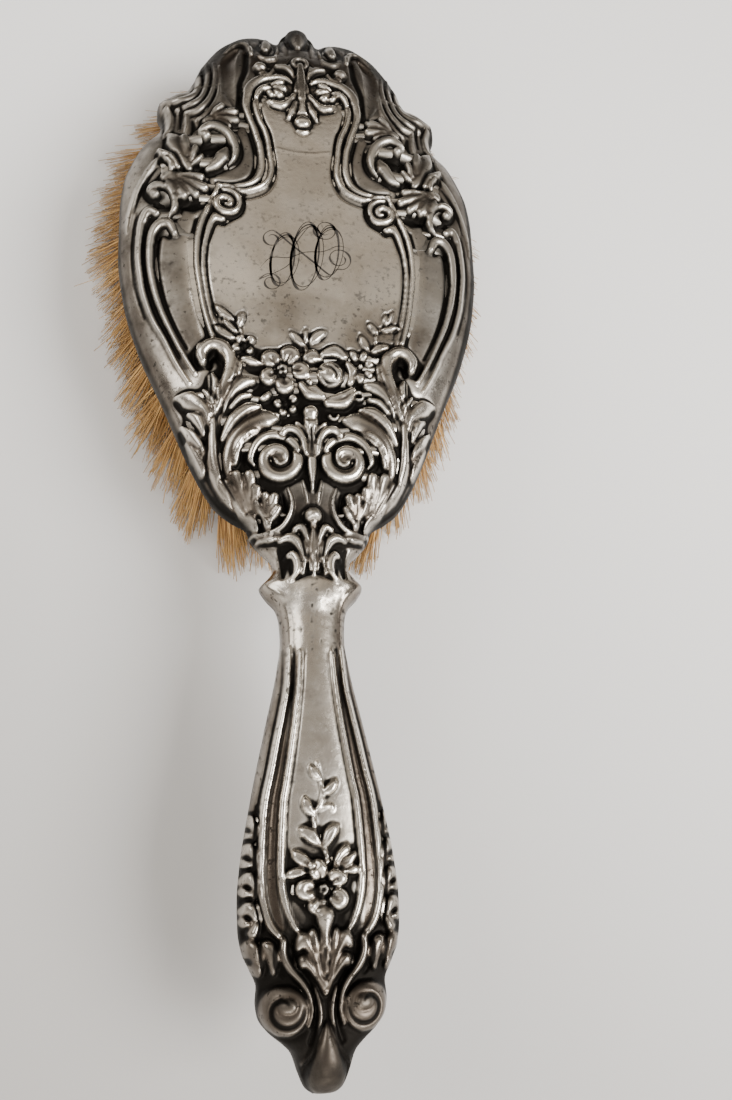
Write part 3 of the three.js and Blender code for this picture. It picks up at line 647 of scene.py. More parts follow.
def draw_flower(x, t, petals, lift, base, eye):
    """Open flower: dished petals round a ringed eye."""
    for px, pt, radius in petals:
        ball(px, pt, 1.08 * radius, 1.08 * radius, lift, base, cut=0.8, power=2.6)
        swell(px + 0.2 * (x - px), pt + 0.2 * (t - pt), 0.8 * radius, 0.8 * radius, -0.3 * lift)
        groove([(x + 0.3 * (px - x), t + 0.3 * (pt - t)), (px, pt)], [0.55, 0.1], 0.35, 0.9)
    ball(x, t, eye * 1.25, eye * 1.25, lift * 0.9, base + 0.25, cut=0.95)
    groove([(x - 0.05, t), (x + 0.05, t)], eye * 0.6, 0.8, 1)


def draw_bouquet():
    """Bunch of flowers across the middle of the head, below the shield."""
    for points, widths in (
        ([(-1.2, 141.6), (0.4, 143.2), (2.2, 143)], [1.1, 1.9, 1.2]),
        ([(3.3, 144), (5.6, 144.7), (7.7, 143.4)], [1.0, 1.6, 1.0]),
        ([(8.4, 141.8), (9.3, 139.8), (8.7, 137.3)], [0.8, 1.4, 1.0]),
        ([(9.2, 135.2), (7, 133.2), (3.9, 132.6)], [1.2, 2.1, 1.3]),
        ([(-1.6, 136.4), (0.2, 134.9), (2.4, 134)], [1.2, 2.0, 1.1]),
        ([(-0.6, 140.6), (-0.9, 138.8), (0, 137)], [0.7, 1.1, 0.7]),
    ):
        stroke(points, widths, 1.3, 0.25, cut=0.95, power=2.6)
        groove(points, [0.1, 0.45, 0.1], 0.25, 0.3)
    draw_flower(-5.9, 139.7, [(-4.2, 143.3, 2.25), (-8.4, 142.2, 2.1), (-8.7, 138, 2.0), (-5.4, 136.1, 2.05),
                              (-1.9, 139.7, 2.1)], 1.3, 0.3, 1.15)
    ball(4.6, 139, 3.3, 3.2, 2.2, 0.4, cut=0.95)
    for points in ([(3.6, 141.9), (5.8, 141.5), (7.1, 139.6), (6.8, 137.4)],
                   [(2.1, 138.4), (3.7, 136.7), (5.8, 136.7)], [(5, 141), (6.1, 139.9)],
                   [(3, 140.6), (4.4, 140), (5.6, 138.4), (5.3, 137.4)], [(1.9, 140.2), (2.6, 139.3)]):
        groove(points, [0.15, 0.42, 0.2], 0.7, 1)
    for x, t in ((9.6, 144.2), (12, 144.1), (13.3, 142), (13, 139.4), (11, 138.3)):
        leaf((x + 0.5 * (11.2 - x), t + 0.5 * (141.2 - t)), (x + 0.3 * (x - 11.2), t + 0.3 * (t - 141.2)),
             1.05, 1.2, base=0.2, vein=0.3, cut=0.95)
    ball(11.1, 141.2, 0.75, 0.75, 1.2, 0.3, cut=0.95)
    draw_flower(-5.3, 131.9, [(-3.7, 133.2, 0.95), (-3.8, 130.8, 0.9), (-5.9, 130, 0.9), (-6.9, 132, 0.95)],
                0.9, 0.1, 0.5)
    ring(10.6, 134.2, 0.9, 0.4, 1.0, 0.2, 4.2, -2.2)
    ring(5, 129.6, 0.9, 0.45, 0.8, 0.1, 3.1, 3.2)
    leaf((-11, 132.9), (-8.6, 134.9), 0.9, 0.9, -0.2, base=0.1)
    leaf((-10.2, 140.9), (-14.8, 142.4), 1.1, 1.1, base=0.2)
    draw_flower(-13.9, 145.4, [(-14.9, 146.8, 0.95), (-12.6, 146.7, 0.95), (-15.6, 144.8, 0.95),
                               (-12.8, 144.1, 0.9)], 0.9, 0.4, 0.5)


def draw_sprigs():
    """Fine leafy sprigs that climb from the bouquet onto the shield."""
    lift, base = 0.6, 0.5
    leaves = (
        ((-0.8, 146), (-3.8, 149.3), 1.0), ((0.3, 146.6), (3.9, 149.8), 1.2),
        ((-0.4, 146.6), (-0.4, 150.2), 0.6), ((-15.9, 146.9), (-20.3, 149.8), 1.1),
        ((-14.9, 150), (-14, 153.4), 0.9),
        ((-16.2, 151.4), (-20.2, 155), 1.0), ((-15.3, 148.4), (-18.4, 151.6), 0.8),
        ((13.3, 145.4), (11.6, 149.3), 1.0), ((13.8, 145.2), (18, 146.7), 1.1),
        ((15.3, 149.8), (13.6, 152.4), 0.9), ((16.3, 150.6), (20.5, 151.4), 0.8),
        ((17.5, 152), (17.6, 154.8), 0.7), ((18.1, 152.4), (19.4, 155.7), 0.5),
    )
    for points in ([(-0.7, 144.5), (-0.6, 146.5), (-0.4, 148)], [(-14, 146.3), (-14.9, 149.5), (-17, 152.8)],
                   [(14.8, 146.6), (15.3, 150), (17, 151.6), (18, 153.6)]):
        stroke(points, [0.35, 0.3, 0.2], lift, base)
    for start, end, width in leaves:
        leaf(start, end, width, lift, 0.06, base=base, vein=0.35, cut=0.8)


def draw_neck():
    """Leaves, ridges and collar between the head and the handle."""
    leaves = (
        ([(3.9, 104.1), (2.5, 104.6), (1.5, 102.6), (1.0, 99.6), (0.7, 95.5)], [0.7, 1.0, 1.0, 0.8, 0.3]),
        ([(6.9, 102), (4.8, 102.6), (2.9, 101.2), (2.2, 98.3), (2.4, 94.8)], [0.5, 1.1, 1.2, 1.0, 0.4]),
        ([(5.7, 98.3), (4.4, 99), (3.5, 97.5), (3.5, 95.3), (4.8, 93.4)], [0.5, 0.9, 0.9, 0.8, 0.3]),
    )
    for turned in (flipped, list):
        for points, widths in leaves:
            stroke(turned(points), widths, 1.0, 0.1, cut=0.85)
    pair(groove, [(7, 100.4), (6, 97.5), (6.2, 94.3)], [0.6, 1.3, 0.6], 0.5, 0.95)
    pair(groove, [(3, 103.8), (2.4, 101.6), (1.8, 98.4)], 0.35, 0.4, 1)
    pair(stroke, [(9.9, 92.9), (7.4, 90.6), (5.9, 87), (5.4, 82.5), (5.3, 78)],
         [0.6, 1.1, 0.9, 0.7, 0.4], 0.3, 0.0, cut=0.2)
    stroke([(0, 103.5), (0, 99), (0, 94.5)], [0.8, 0.6, 0.2], 0.8, 0.1)
    swell(0, 91, 4.5, 5, 0.5)


INNER_RIDGE = [(3.2, 79), (3.6, 73), (4.4, 66), (5.3, 60), (6.3, 54), (7, 50), (7.5, 42), (7.5, 36),
               (6.8, 32), (5.6, 29), (4.2, 27)]
OUTER_RIDGE = [(5.3, 80), (5.7, 73), (6.8, 67), (7.9, 62), (9.1, 56), (10.4, 50), (11.1, 42),
               (11.3, 37), (10.9, 33), (9.9, 29.5), (8.3, 27.2), (7.2, 26.1)]


def draw_handle_ridges():
    """Two ridges down each side of the handle with a dark channel between them."""
    channel = [(4.3, 78), (4.8, 72), (5.6, 66.5), (6.6, 61), (7.7, 55), (8.7, 49.5), (9.3, 42),
               (9.4, 36.5), (8.7, 32), (7.4, 28.6)]
    breadth = [0.5, 0.7, 0.9, 1.1, 1.4, 1.7, 1.8, 1.7, 1.5, 0.8]
    pair(groove, channel, breadth, 0.35, 0.2)
    for points in (channel, flipped(channel)):
        mark(open_floor, points, [1.15 * b for b in breadth], 1.6)
    pair(stroke, INNER_RIDGE, [0.3, 0.5, 0.6, 0.65, 0.7, 0.75, 0.75, 0.7, 0.6, 0.5], 0.6, 0.15,
         cut=0.3, weight=0.15)
    pair(stroke, OUTER_RIDGE, [0.4, 0.6, 0.7, 0.75, 0.8, 0.85, 0.85, 0.8, 0.8, 0.6], 0.65, 0.15,
         cut=0.3, weight=0.15)
    pair(groove, [(x - 0.95, t) for x, t in INNER_RIDGE], [0.2, 0.25, 0.25, 0.25, 0.25], 0.2, 0.6)
    pair(groove, [(x + 0.95, t) for x, t in INNER_RIDGE], [0.2, 0.3, 0.3, 0.3, 0.3], 0.25, 0.8)
    pair(groove, [(x - 1.0, t) for x, t in OUTER_RIDGE], [0.2, 0.3, 0.3, 0.3, 0.3], 0.25, 0.8)
    pair(groove, [(x + 1.05, t) for x, t in OUTER_RIDGE[:-2]], [0.2, 0.25, 0.3, 0.3, 0.3], 0.25, 0.7)


def draw_handle_sprig():
    """Flower and leafy spray in the middle of the handle."""
    draw_flower(0, 34.6, [(-0.9, 38, 1.9), (2.8, 36.7, 1.85), (2.8, 32.8, 1.9), (-1.2, 32, 1.8),
                          (-3.2, 34.7, 1.9)], 1.3, 0.15, 1.0)
    stroke([(1, 39.3), (0.6, 41.5), (-0.5, 43), (-1.2, 45), (-1.2, 48), (0.2, 50), (0.5, 52), (0.1, 54.5),
            (-0.6, 57.5)], [0.45, 0.4, 0.4, 0.35, 0.3, 0.2], 0.7, 0.1)
    for start, end, width, bend in (
        ((-1.7, 38.8), (-5.4, 41.6), 1.3, 0.08), ((-3, 37.5), (-6.6, 37), 1.1, -0.12),
        ((2.2, 38.6), (4.9, 42.4), 1.3, -0.08), ((3.6, 38), (6.9, 37.4), 1.1, 0.1),
        ((3.4, 38.6), (6.4, 41.1), 0.9, -0.1), ((-0.6, 42.4), (-4.3, 45.3), 1.3, -0.1),
        ((0.7, 42), (3.2, 45.9), 1.3, 0.1), ((-1.3, 47.8), (-3, 51.2), 1.0, 0.1),
        ((0.6, 51.6), (3, 54.2), 1.0, -0.1), ((0.1, 54.3), (-1.7, 57), 0.8, 0.1),
    ):
        leaf(start, end, width, 0.85, bend, base=0.1, vein=0.35, cut=0.8)
    stroke([(-0.2, 48.6), (1, 49.4), (2.1, 49.3), (2.2, 48.5)], [0.2, 0.3, 0.35, 0.25], 0.5, 0.1)


def draw_handle_end():
    """Bulb, small leaves, S ridges, volutes and the teardrop at the handle's end."""
    pair_strokes((
        ([(0.1, 17), (1.1, 19.6), (2.4, 21.7), (3.7, 22.7), (4.4, 21.8)], [0.3, 0.6, 0.9, 1.1, 0.6]),
        ([(0.1, 18.2), (1.0, 21.8), (2.3, 24.6), (3.7, 26.2), (4.7, 25)], [0.4, 0.7, 1.0, 1.3, 0.7]),
        ([(0.6, 23), (1.3, 25.4), (2.1, 27.5)], [0.4, 0.8, 0.6]),
    ), 1.1, 0.1)
    stroke([(0, 20.5), (0, 24), (0.1, 27.4), (0.2, 30)], [0.4, 0.8, 1.1, 1.9], 1.5, 0.1, cut=0.9)
    groove([(0, 24.6), (0, 21)], [0.35, 0.15], 0.5, 1)
    outer = [(7.3, 26.2), (7.5, 23.8), (6.2, 21.4), (4.3, 19.3), (3, 17), (2.7, 14.2), (3.2, 12)]
    inner = [(2, 18.2), (1.2, 15.5), (1.1, 13), (1.5, 10.5), (2.4, 8.3), (4.3, 5.6)]
    pair(stroke, outer, [0.7, 0.9, 0.8, 0.7, 0.6, 0.5, 0.3], 0.9, 0.2, cut=0.6)
    pair(stroke, inner, [0.3, 0.5, 0.5, 0.5, 0.5, 0.3], 0.7, 0.1, cut=0.4, weight=0.3)
    pair(groove, [(5.8, 25.6), (5.6, 23), (4.3, 20.8), (2.7, 18.6), (1.9, 15.5), (1.9, 12.5), (3, 9.3)],
         [0.5, 0.6, 0.5, 0.4, 0.4, 0.5], 0.5, 0.95)
    pair(groove, [(9, 25), (8.7, 22), (7.3, 20)], [0.6, 0.8, 0.4], 0.5, 0.9)
    coil = [(7.4 + r * math.cos(a), 14.9 + r * math.sin(a))
            for a, r in zip(np.linspace(3.1, 8.6, 12), np.linspace(3.6, 1.2, 12))]
    pair_ball(7.5, 14.5, 4.5, 4.3, 1.6, 0.2, cut=0.95)
    pair(groove, coil, [0.2, 0.5, 0.6, 0.55, 0.45, 0.25], 0.6, 0.9)
    pair_ball(6.9, 15.5, 1.6, 1.3, 0.5, 1.7, cut=0.2)
    stroke([(0, 12.4), (0, 9), (0, 5.6), (0, 3.2), (0, 1.6)], [0.3, 1.5, 2.9, 3.5, 2.2], 1.8, 0.1, cut=0.9)
    pair(groove, [(1, 12), (2.3, 8.8), (3.7, 6), (4.1, 3.6)], [0.3, 0.5, 0.5, 0.3], 0.5, 1)


def draw_handle_sides():
    """Chains of small curling leaves along both edges of the handle."""
    for t in (46.4, 41.3, 36.2, 31):
        curl = [(12.5, t - 3), (12.4, t - 0.8), (13.4, t + 0.8), (14.6, t + 0.1)]
        lobe = [(13.2, t - 1.9), (14.4, t - 1.6)]
        pair_strokes(((curl, [0.3, 0.8, 1.1, 0.8]), (lobe, [0.5, 0.9])), 1.2, 0.1)
        pair(groove, [(13.2, t - 1), (14.2, t - 0.7)], 0.35, 0.5, 1)
    pair_strokes((
        ([(12.8, 27.6), (12, 29)], [0.9, 0.5]),
        ([(12.2, 21.3), (13.4, 21.2)], [1.2, 0.8]),
        ([(9.2, 20.7), (9.3, 23), (10.3, 25), (11.2, 24)], [0.4, 1.1, 1.3, 0.8]),
        ([(11.3, 21), (12, 23.4), (13.3, 25), (14.3, 23.8)], [0.4, 1.1, 1.4, 0.8]),
    ), 1.2, 0.15)
    pair(groove, [(11.9, 50), (12.1, 46), (12.3, 41), (12.2, 36), (11.9, 31), (11, 28)],
         [0.2, 0.4, 0.45, 0.45, 0.4, 0.3], 0.4, 1)
    pair(groove, [(11.6, 26.2), (11.5, 23.6), (10.9, 20.9)], 0.35, 0.6, 1)


draw_panels()
draw_outer_lines()
draw_folds()
draw_frame()
draw_top()
draw_pendant()
draw_side_clusters()
draw_acanthus()
draw_side_blobs()
draw_palmette()
draw_bouquet()
draw_sprigs()
draw_neck()
draw_handle_ridges()
draw_handle_sprig()
draw_handle_end()
draw_handle_sides()


# ---------------------------------------------------------------- tarnish, oxidation, painted shade, pits and wear

SPECK_PATCHES = (
    # (from x, to x), (from t, to t), number of pits
    ((-1, 7), (77, 96), 240), ((-6, 0), (77, 92), 50), ((22, 34), (146, 186), 110),
    ((-34, -22), (146, 186), 110), ((-20, -6), (150, 184), 70), ((-8, 8), (185, 208), 50),
    ((2, 18), (150, 184), 30), ((-5, 5), (50, 76), 20),
)


def draw_tarnish_and_painted_shade():
    """Brown tarnish that handling never reached: edges, panels, channels, the upper end and the tip. Along
    the head's edges it is partly painted shade, over the upper end partly a painted dark reflection, and on
    the shield's foot it is a painted dark reflection.
    """
    handle_channel = [(5.2, 76), (6.6, 64), (8.4, 52), (9.1, 42), (8.8, 33), (7.7, 27.5)]
    for points in (handle_channel, flipped(handle_channel)):
        mark(tarnish_and_shade, points, [0.8, 1.6, 2.0, 1.6, 0.8], 1.1)
    outside = smoothstep(-shield, 0.0, 3.0) * on_head
    # Tarnish along the head's edges, with painted shade that is heavier towards the right
    head_edge_tarnish_and_shade = (0.72 + 0.15 * smoothstep(X, -10, 30)) * near_edge(0.5, 9) * above(100, 118)
    # Tarnish over the head's upper end, with a painted dark reflection
    upper_end_tarnish_and_shade = 0.85 * above(204, 226) * np.maximum(outside, above(219, 224))
    handle_edge = (0.75 + 0.2 * (X > 0)) * near_edge(0.5, 4) * below(95, 110)
    neck = 0.95 * below(106, 124) * above(96, 104)
    channels = 0.5 * smoothstep(ink, 0.1, 0.5)
    # Painted dark reflection: the lower part of the shield is coloured browner
    painted_shield_foot_reflection = 0.4 * below(152, 174) * (shield > 0) * on_head
    tip = below(24, 40)
    for layer in (0.56 * outside, head_edge_tarnish_and_shade, upper_end_tarnish_and_shade, handle_edge, tip, neck, channels, painted_shield_foot_reflection):
        tarnish_and_shade[:] = np.maximum(tarnish_and_shade, layer)


def draw_oxide_and_painted_shade():
    """Black along the edges, at the right side most, round the teardrop and in deep pockets, and over the
    upper end. Along the edges and in the pockets it is oxidation with painted shade, on the right side also a
    painted dark reflection, and over the upper end tarnish with a painted dark reflection.
    """
    right = smoothstep(X, 25, 38) * above(120, 150)
    ground = ornament == 0
    middle = ground * (np.abs(X) < 7.2)
    # Black along the edges: oxidation with painted shade, heavier on the right side where a dark reflection
    # is painted
    darken((0.6 + 0.35 * right) * near_edge(0.3 + 0.4 * right, 1.8 + 1.4 * right) * above(98, 108))
    # Painted dark reflection, with tarnish: the upper end and its edge are coloured black
    darken(0.62 * near_edge(2.5, 8) * above(218, 223))
    darken(0.4 * above(216 + 5 * (np.abs(X) < 6), 230) * below(238, 242))
    darken(0.7 * below(20, 34) * ground)
    darken(0.6 * below(28, 39) * middle)
    darken(0.5 * above(100, 106) * below(112, 118) * middle)
    darken(0.5 * below(4, 18))
    darken(0.3 * below(20, 30))
    darken(0.28 * smoothstep(np.abs(X), 10, 11.5) * below(50, 56))
    darken(0.25 * above(99, 104) * below(112, 122))
    # Black in deep pockets: oxidation with painted shade
    pockets = np.zeros_like(X)
    for points in ([(19.4, 200.2), (19.3, 198), (21.2, 196)], [(24.6, 201), (24.8, 198), (23.4, 195.6)],
                   [(25, 181), (28, 181.4)], [(32.4, 181), (32, 178.6)]):
        for path in (points, flipped(points)):
            mark(pockets, path, [1.8, 2.4, 2.0], 1.6)
    darken(np.clip(pockets, 0, 0.95) * ground)


def draw_specks():
    """Small black pits, thickest on the neck, the side panels and the shield's left edge."""
    rng = np.random.default_rng(SEED)
    for x_range, t_range, count in SPECK_PATCHES:
        across, along = rng.uniform(*x_range, count), rng.uniform(*t_range, count)
        for x, t, radius in zip(across, along, rng.uniform(0.16, 0.36, count)):
            on_handle = t < 96
            groove([(x - 0.05, t), (x + 0.05, t)], radius, 0.04, rng.uniform(0.25, 0.8) + 0.25 * on_handle)


def black_ground():
    """Black between the ornaments, weaker beside the shield and round the handle's spray."""
    shield_rim = smoothstep(shield, 0.2, 2.5) * (T > 145)
    spray = (np.abs(X) < 7.2) * above(36, 41) * below(62, 64)
    return smoothstep(crowded, 0.12, 0.42) * (ornament == 0) * (1 - 0.75 * shield_rim) * (1 - 0.6 * spray)


def black_oxide_and_shade():
    """Black held by hollow places (oxidation with painted occlusion shade), painted shade on steep sides, the
    ground between ornaments, and every black mark.
    """
    # Oxidation in hollow places, with painted occlusion shade: the deeper a place lies, the blacker it is
    # coloured, less so on floors open to the light
    hollows = np.clip(hollowness / 0.36, 0, 1) ** 1.1 * (1 - 0.75 * np.clip(open_floor, 0, 1))
    # Painted shade: steep sides of the relief are coloured dark, as if they reflected dark surroundings
    painted_flank_shade = 0.45 * np.clip((np.hypot(*np.gradient(height, PITCH)) - 0.7) / 1.6, 0, 1)
    return np.clip(np.maximum.reduce([hollows + painted_flank_shade, 0.93 * gaps, ink]), 0, 1)


def high_spots():
    """Where handling has polished the relief: least at the upper end, the neck and the handle's end."""
    worn = np.clip((-hollowness - 0.05) / 0.4, 0, 1) ** 1.2
    worn *= (1 - 0.5 * above(212, 224)) * (0.1 + 0.9 * above(20, 42))
    worn *= 1 - 0.5 * smoothstep(X, 9, 12) * below(50, 56)
    return worn * (1 - 0.4 * above(102, 108) * below(114, 124))


HALO = 1.4
GROUND_DROP = 0.3
RELIEF_BLUR = 0.16
HOLLOW_SIZE = 0.9
BLACK_MAP_BLUR = 0.17

draw_tarnish_and_painted_shade()
draw_oxide_and_painted_shade()
draw_specks()
crowded = blurred(ornament, HALO)
gaps = black_ground()
height = blurred(height - GROUND_DROP * gaps, RELIEF_BLUR)
hollowness = blurred(height, HOLLOW_SIZE) - height
oxide_and_shade = blurred(black_oxide_and_shade(), BLACK_MAP_BLUR)
wear = high_spots()
tarnish_and_shade = np.maximum(tarnish_and_shade, 0.75 * smoothstep(crowded, 0.15, 0.5) * (1 - wear))


# ---------------------------------------------------------------- surfaces of the silver

EDGE_LIP = 0.5
RELIEF, REAR_RELIEF = 1.2, 0.7
HEAD_ROLL, HEAD_ROLL_POWER, HANDLE_ROLL_POWER = 15, 1.8, 2.2
TOP_FALL_START, TOP_FALL = 200, 44
TIP_ROUND = 9
INNER_COLUMNS = 16
TIP_WALL = 30


def seam(t):
    """Height of the joint under the silver back, which climbs from the head to the handle."""
    return HANDLE_SEAM + (HEAD_SEAM - HANDLE_SEAM) * smoothstep(t, NECK_END, HEAD_START)


def dome(x, t):
    """Height of the plain silver back above its seam."""
    blend = smoothstep(t, NECK_END, HEAD_START)
    away = np.clip(sample(edge_distance, x, t), 0, None)
    width = side_width(t)
    head = HEAD_CROWN * roll(1 - np.clip(away / HEAD_ROLL, 0, 1), HEAD_ROLL_POWER)
    head *= roll(np.clip((t - TOP_FALL_START) / TOP_FALL, 0, 1), HEAD_ROLL_POWER)
    handle = HANDLE_CROWN * roll(x / width, HANDLE_ROLL_POWER) * roll(1 - np.clip(t / TIP_ROUND, 0, 1), 2)
    return head * blend + handle * (1 - blend)


def front_height(x, t):
    """Height of the ornamented back."""
    away = np.clip(sample(edge_distance, x, t), 0, None)
    relief = RELIEF * sample(height, x, t) * smoothstep(away, 0.0, 1.2)
    return seam(t) + EDGE_LIP * (smoothstep(away, 0, 0.4) - 1) + dome(x, t) + relief


def rear_height(x, t):
    """Height of the handle's rear half, which carries a shallower copy of the relief."""
    width = side_width(t)
    away = np.clip(width - np.abs(x), 0, None)
    belly = HANDLE_BELLY - 0.8 + (1.9 - HANDLE_BELLY) * smoothstep(t, NECK_END - 10, THROAT)
    depth = belly * roll(x / width, HANDLE_ROLL_POWER) * roll(1 - np.clip(t / TIP_ROUND, 0, 1), 2)
    relief = REAR_RELIEF * sample(height, x, t) * smoothstep(away, 0, 1.2)
    relief *= 1 - smoothstep(t, THROAT - 10, THROAT - 3)
    return seam(t) - CLEARANCE - np.maximum(depth + relief, 0.02)


def plan_row(place, u):
    """Places across the back in one row; past the last straight row they fan out to the top edge."""
    if place <= LAST_STRAIGHT:
        return u * side_width(place), np.full(len(u), float(place))
    share = (place - LAST_STRAIGHT) / (LENGTH - LAST_STRAIGHT)
    width = side_width(LAST_STRAIGHT + (SIDE_END - LAST_STRAIGHT) * share)
    edge = top_edge(np.abs(u) * TOP_REACH)
    return u * width, LAST_STRAIGHT + (edge - LAST_STRAIGHT) * share


def loop_of(place, columns, surface):
    """One closed loop round the shell, outer surface first. Its columns crowd towards the edges."""
    s = np.linspace(-1, 1, columns)
    x, t = plan_row(place, 1.15 * s - 0.15 * s ** 3)
    outer = np.stack([x, t, surface(x, t)], 1)
    reach = np.abs(x).max()
    shrink = max(1 - SHELL_WALL / reach, 0.2)
    xi, ti = plan_row(place, np.linspace(1, -1, INNER_COLUMNS))
    xi = xi * shrink
    ti = ti + SHELL_WALL * (max(1 - place / TIP_WALL, 0) - smoothstep(place, LAST_STRAIGHT, LENGTH))
    flat = seam(ti)
    rise = surface(xi, ti) - flat
    inner = flat + rise * (1 - SHELL_WALL / np.maximum(np.abs(rise), SHELL_WALL))
    return np.vstack([outer, np.stack([xi, ti, inner], 1)])


def stitch(low, high):
    """Triangles between two runs of vertex indices with different counts."""
    faces = []
    i = j = 0
    while i < len(low) - 1 or j < len(high) - 1:
        if j == len(high) - 1 or (i < len(low) - 1 and (i + 1) / (len(low) - 1) <= (j + 1) / (len(high) - 1)):
            faces.append((low[i], low[i + 1], high[j]))
            i += 1
        else:
            faces.append((low[i], high[j + 1], high[j]))
            j += 1
    return faces


def mesh_object(name, vertices, faces, flip=False):
    mesh = bpy.data.meshes.new(name)
    faces = [tuple(reversed(f)) for f in faces] if flip else faces
    mesh.from_pydata((np.asarray(vertices) * MM).tolist(), [], [tuple(map(int, f)) for f in faces])
    mesh.shade_smooth()
    mesh.update()
    made = bpy.data.objects.new(name, mesh)
    bpy.context.scene.collection.objects.link(made)
    return made


def add_field(obj, name, values):
    attribute = obj.data.attributes.new(name, "FLOAT", "POINT")
    attribute.data.foreach_set("value", np.asarray(values, np.float32))


def to_model(points):
    """From (x, t, z) to the model's (x, y, z), in millimetres."""
    return np.asarray(points) - [0, LENGTH / 2, 0]


def bridge(low, high):
    """Faces between two neighbouring loops, each (first vertex, outer columns, all columns)."""
    (a, outer_a, all_a), (b, outer_b, all_b) = low, high
    if outer_a == outer_b:
        return [(a + k, a + (k + 1) % all_a, b + (k + 1) % all_a, b + k) for k in range(all_a)]
    faces = stitch(range(a, a + outer_a), range(b, b + outer_b))
    b_shift = b + outer_b - outer_a
    faces += [(a + k, a + k + 1, b_shift + k + 1, b_shift + k) for k in range(outer_a - 1, all_a - 1)]
    return faces + [(a + all_a - 1, a, b, b + all_b - 1)]


def end_cap(loop):
    first, outer, everything = loop
    return stitch(range(first, first + outer), range(first + everything - 1, first + outer - 1, -1))


def shell(name, sections, surface, flip=False):
    """A closed silver shell from loops; each section has its own rows and column count."""
    rows = [loop_of(place, columns, surface) for places, columns in sections for place in places]
    outer = [columns for places, columns in sections for _ in places]
    sizes = [len(row) for row in rows]
    starts = np.cumsum([0] + sizes[:-1]).tolist()
    loops = list(zip(starts, outer, sizes))
    faces = [face for low, high in zip(loops, loops[1:]) for face in bridge(low, high)]
    faces += [tuple(reversed(face)) for face in end_cap(loops[0])] + end_cap(loops[-1])
    places = np.vstack(rows)
    made = mesh_object(name, to_model(places), faces, flip=flip)
    for field_name, field in (("oxide_and_shade", oxide_and_shade), ("wear", wear), ("polish", polish), ("tarnish_and_shade", tarnish_and_shade)):
        add_field(made, field_name, sample(field, places[:, 0], places[:, 1]))
    return made


# Row spacings of the meshes, fine where there is ornament
FINE, PLAIN = 0.3, 0.45
REAR_FINE, REAR_PLAIN = 0.4, 0.6
handle_rows = np.concatenate([np.arange(0, 60, FINE), np.arange(60, 90, PLAIN), np.arange(90, 103.5, FINE)])
head_rows = np.concatenate([np.arange(104, LENGTH - 0.1, FINE), [LENGTH]])
rear_rows = np.concatenate([np.arange(0, 58, REAR_FINE), np.arange(58, THROAT, REAR_PLAIN), [THROAT]])
silver_back = shell("silver_back", [(handle_rows, 100), (head_rows, 290)], front_height)
silver_rear = shell("silver_rear", [(rear_rows, 72)], rear_height, flip=True)


# ---------------------------------------------------------------- engraved flourish

FLOURISH_CENTRE = (-0.5, 168.5)
FLOURISH_TILT = math.radians(14)
LINE_LIFT = 0.03
PEN_ANGLE = math.radians(15)
HAIRLINE, BROADEST = 0.17, 0.75


def pen_path(points, broad):
    """A pen path through the points, wide on its down strokes and hairline elsewhere."""
    per_span = 14
    path = spline(points, per_span)
    step = np.gradient(path, axis=0)
    direction = np.arctan2(step[:, 1], step[:, 0])
    pen = HAIRLINE + BROADEST * broad * np.abs(np.sin(direction - PEN_ANGLE)) ** 4
    index = np.arange(len(path))
    ends = np.minimum(index, index[::-1]) / per_span
    return path, pen * np.clip(ends, 0.2, 1) / 2


def flourish_loop(x, wide, tall, lean=0.33):
    """A tall leaning loop, a little more than one turn."""
    angles = np.linspace(-2.4, 2 * math.pi + 1.0, 20)
    return [(x + wide * math.sin(a) + lean * tall * math.cos(a), tall * math.cos(a) * (1 - 0.006 * k))
            for k, a in enumerate(angles)]


def flourish_coil(x, t, radius, turns, start, hand):
    """A curled end that tightens as it turns."""
    angles = np.linspace(0, turns * 2 * math.pi, int(9 * turns) + 1)
    shrinking = [(a + start, radius * (1 - 0.6 * k / len(angles))) for k, a in enumerate(angles)]
    return [(x + hand * r * math.cos(a), t + r * math.sin(a)) for a, r in shrinking]


def flourish_paths():
    """Three interlaced loops between coiled ends, which spell nothing."""
    sweep = flourish_coil(-9.0, -5.2, 2.4, 1.3, 0.6, -1)[::-1] + [(-4, -1.5), (-1.2, 3.2), (2.4, 6.8)]
    sweep += flourish_coil(6.6, 6.0, 2.9, 1.4, 2.6, 1)
    under = flourish_coil(-6.0, 5.6, 2.2, 1.2, 1.0, 1)[::-1] + [(-2.0, 3.4), (1.8, -2.0), (4.4, -5.6)]
    under += flourish_coil(7.6, -2.0, 3.0, 1.4, 4.2, 1)
    hairline = [(-10.6, -1.2), (-7.5, 0.9), (-3.5, 0.3), (0.6, 1.0), (4.6, 0.5), (8.2, 1.3), (10.4, 0.4)]
    loops = [pen_path(flourish_loop(x, wide, tall), 0.7)
             for x, wide, tall in ((-5.0, 2.7, 6.9), (0.2, 3.2, 8.9), (5.4, 2.7, 7.2))]
    echoes = [pen_path(flourish_loop(x, wide, tall), 0.05)
              for x, wide, tall in ((-4.6, 3.4, 6.2), (0.6, 3.9, 8.1), (5.8, 3.4, 6.5))]
    return loops + echoes + [pen_path(sweep, 0.45), pen_path(under, 0.45), pen_path(hairline, 0.15)]


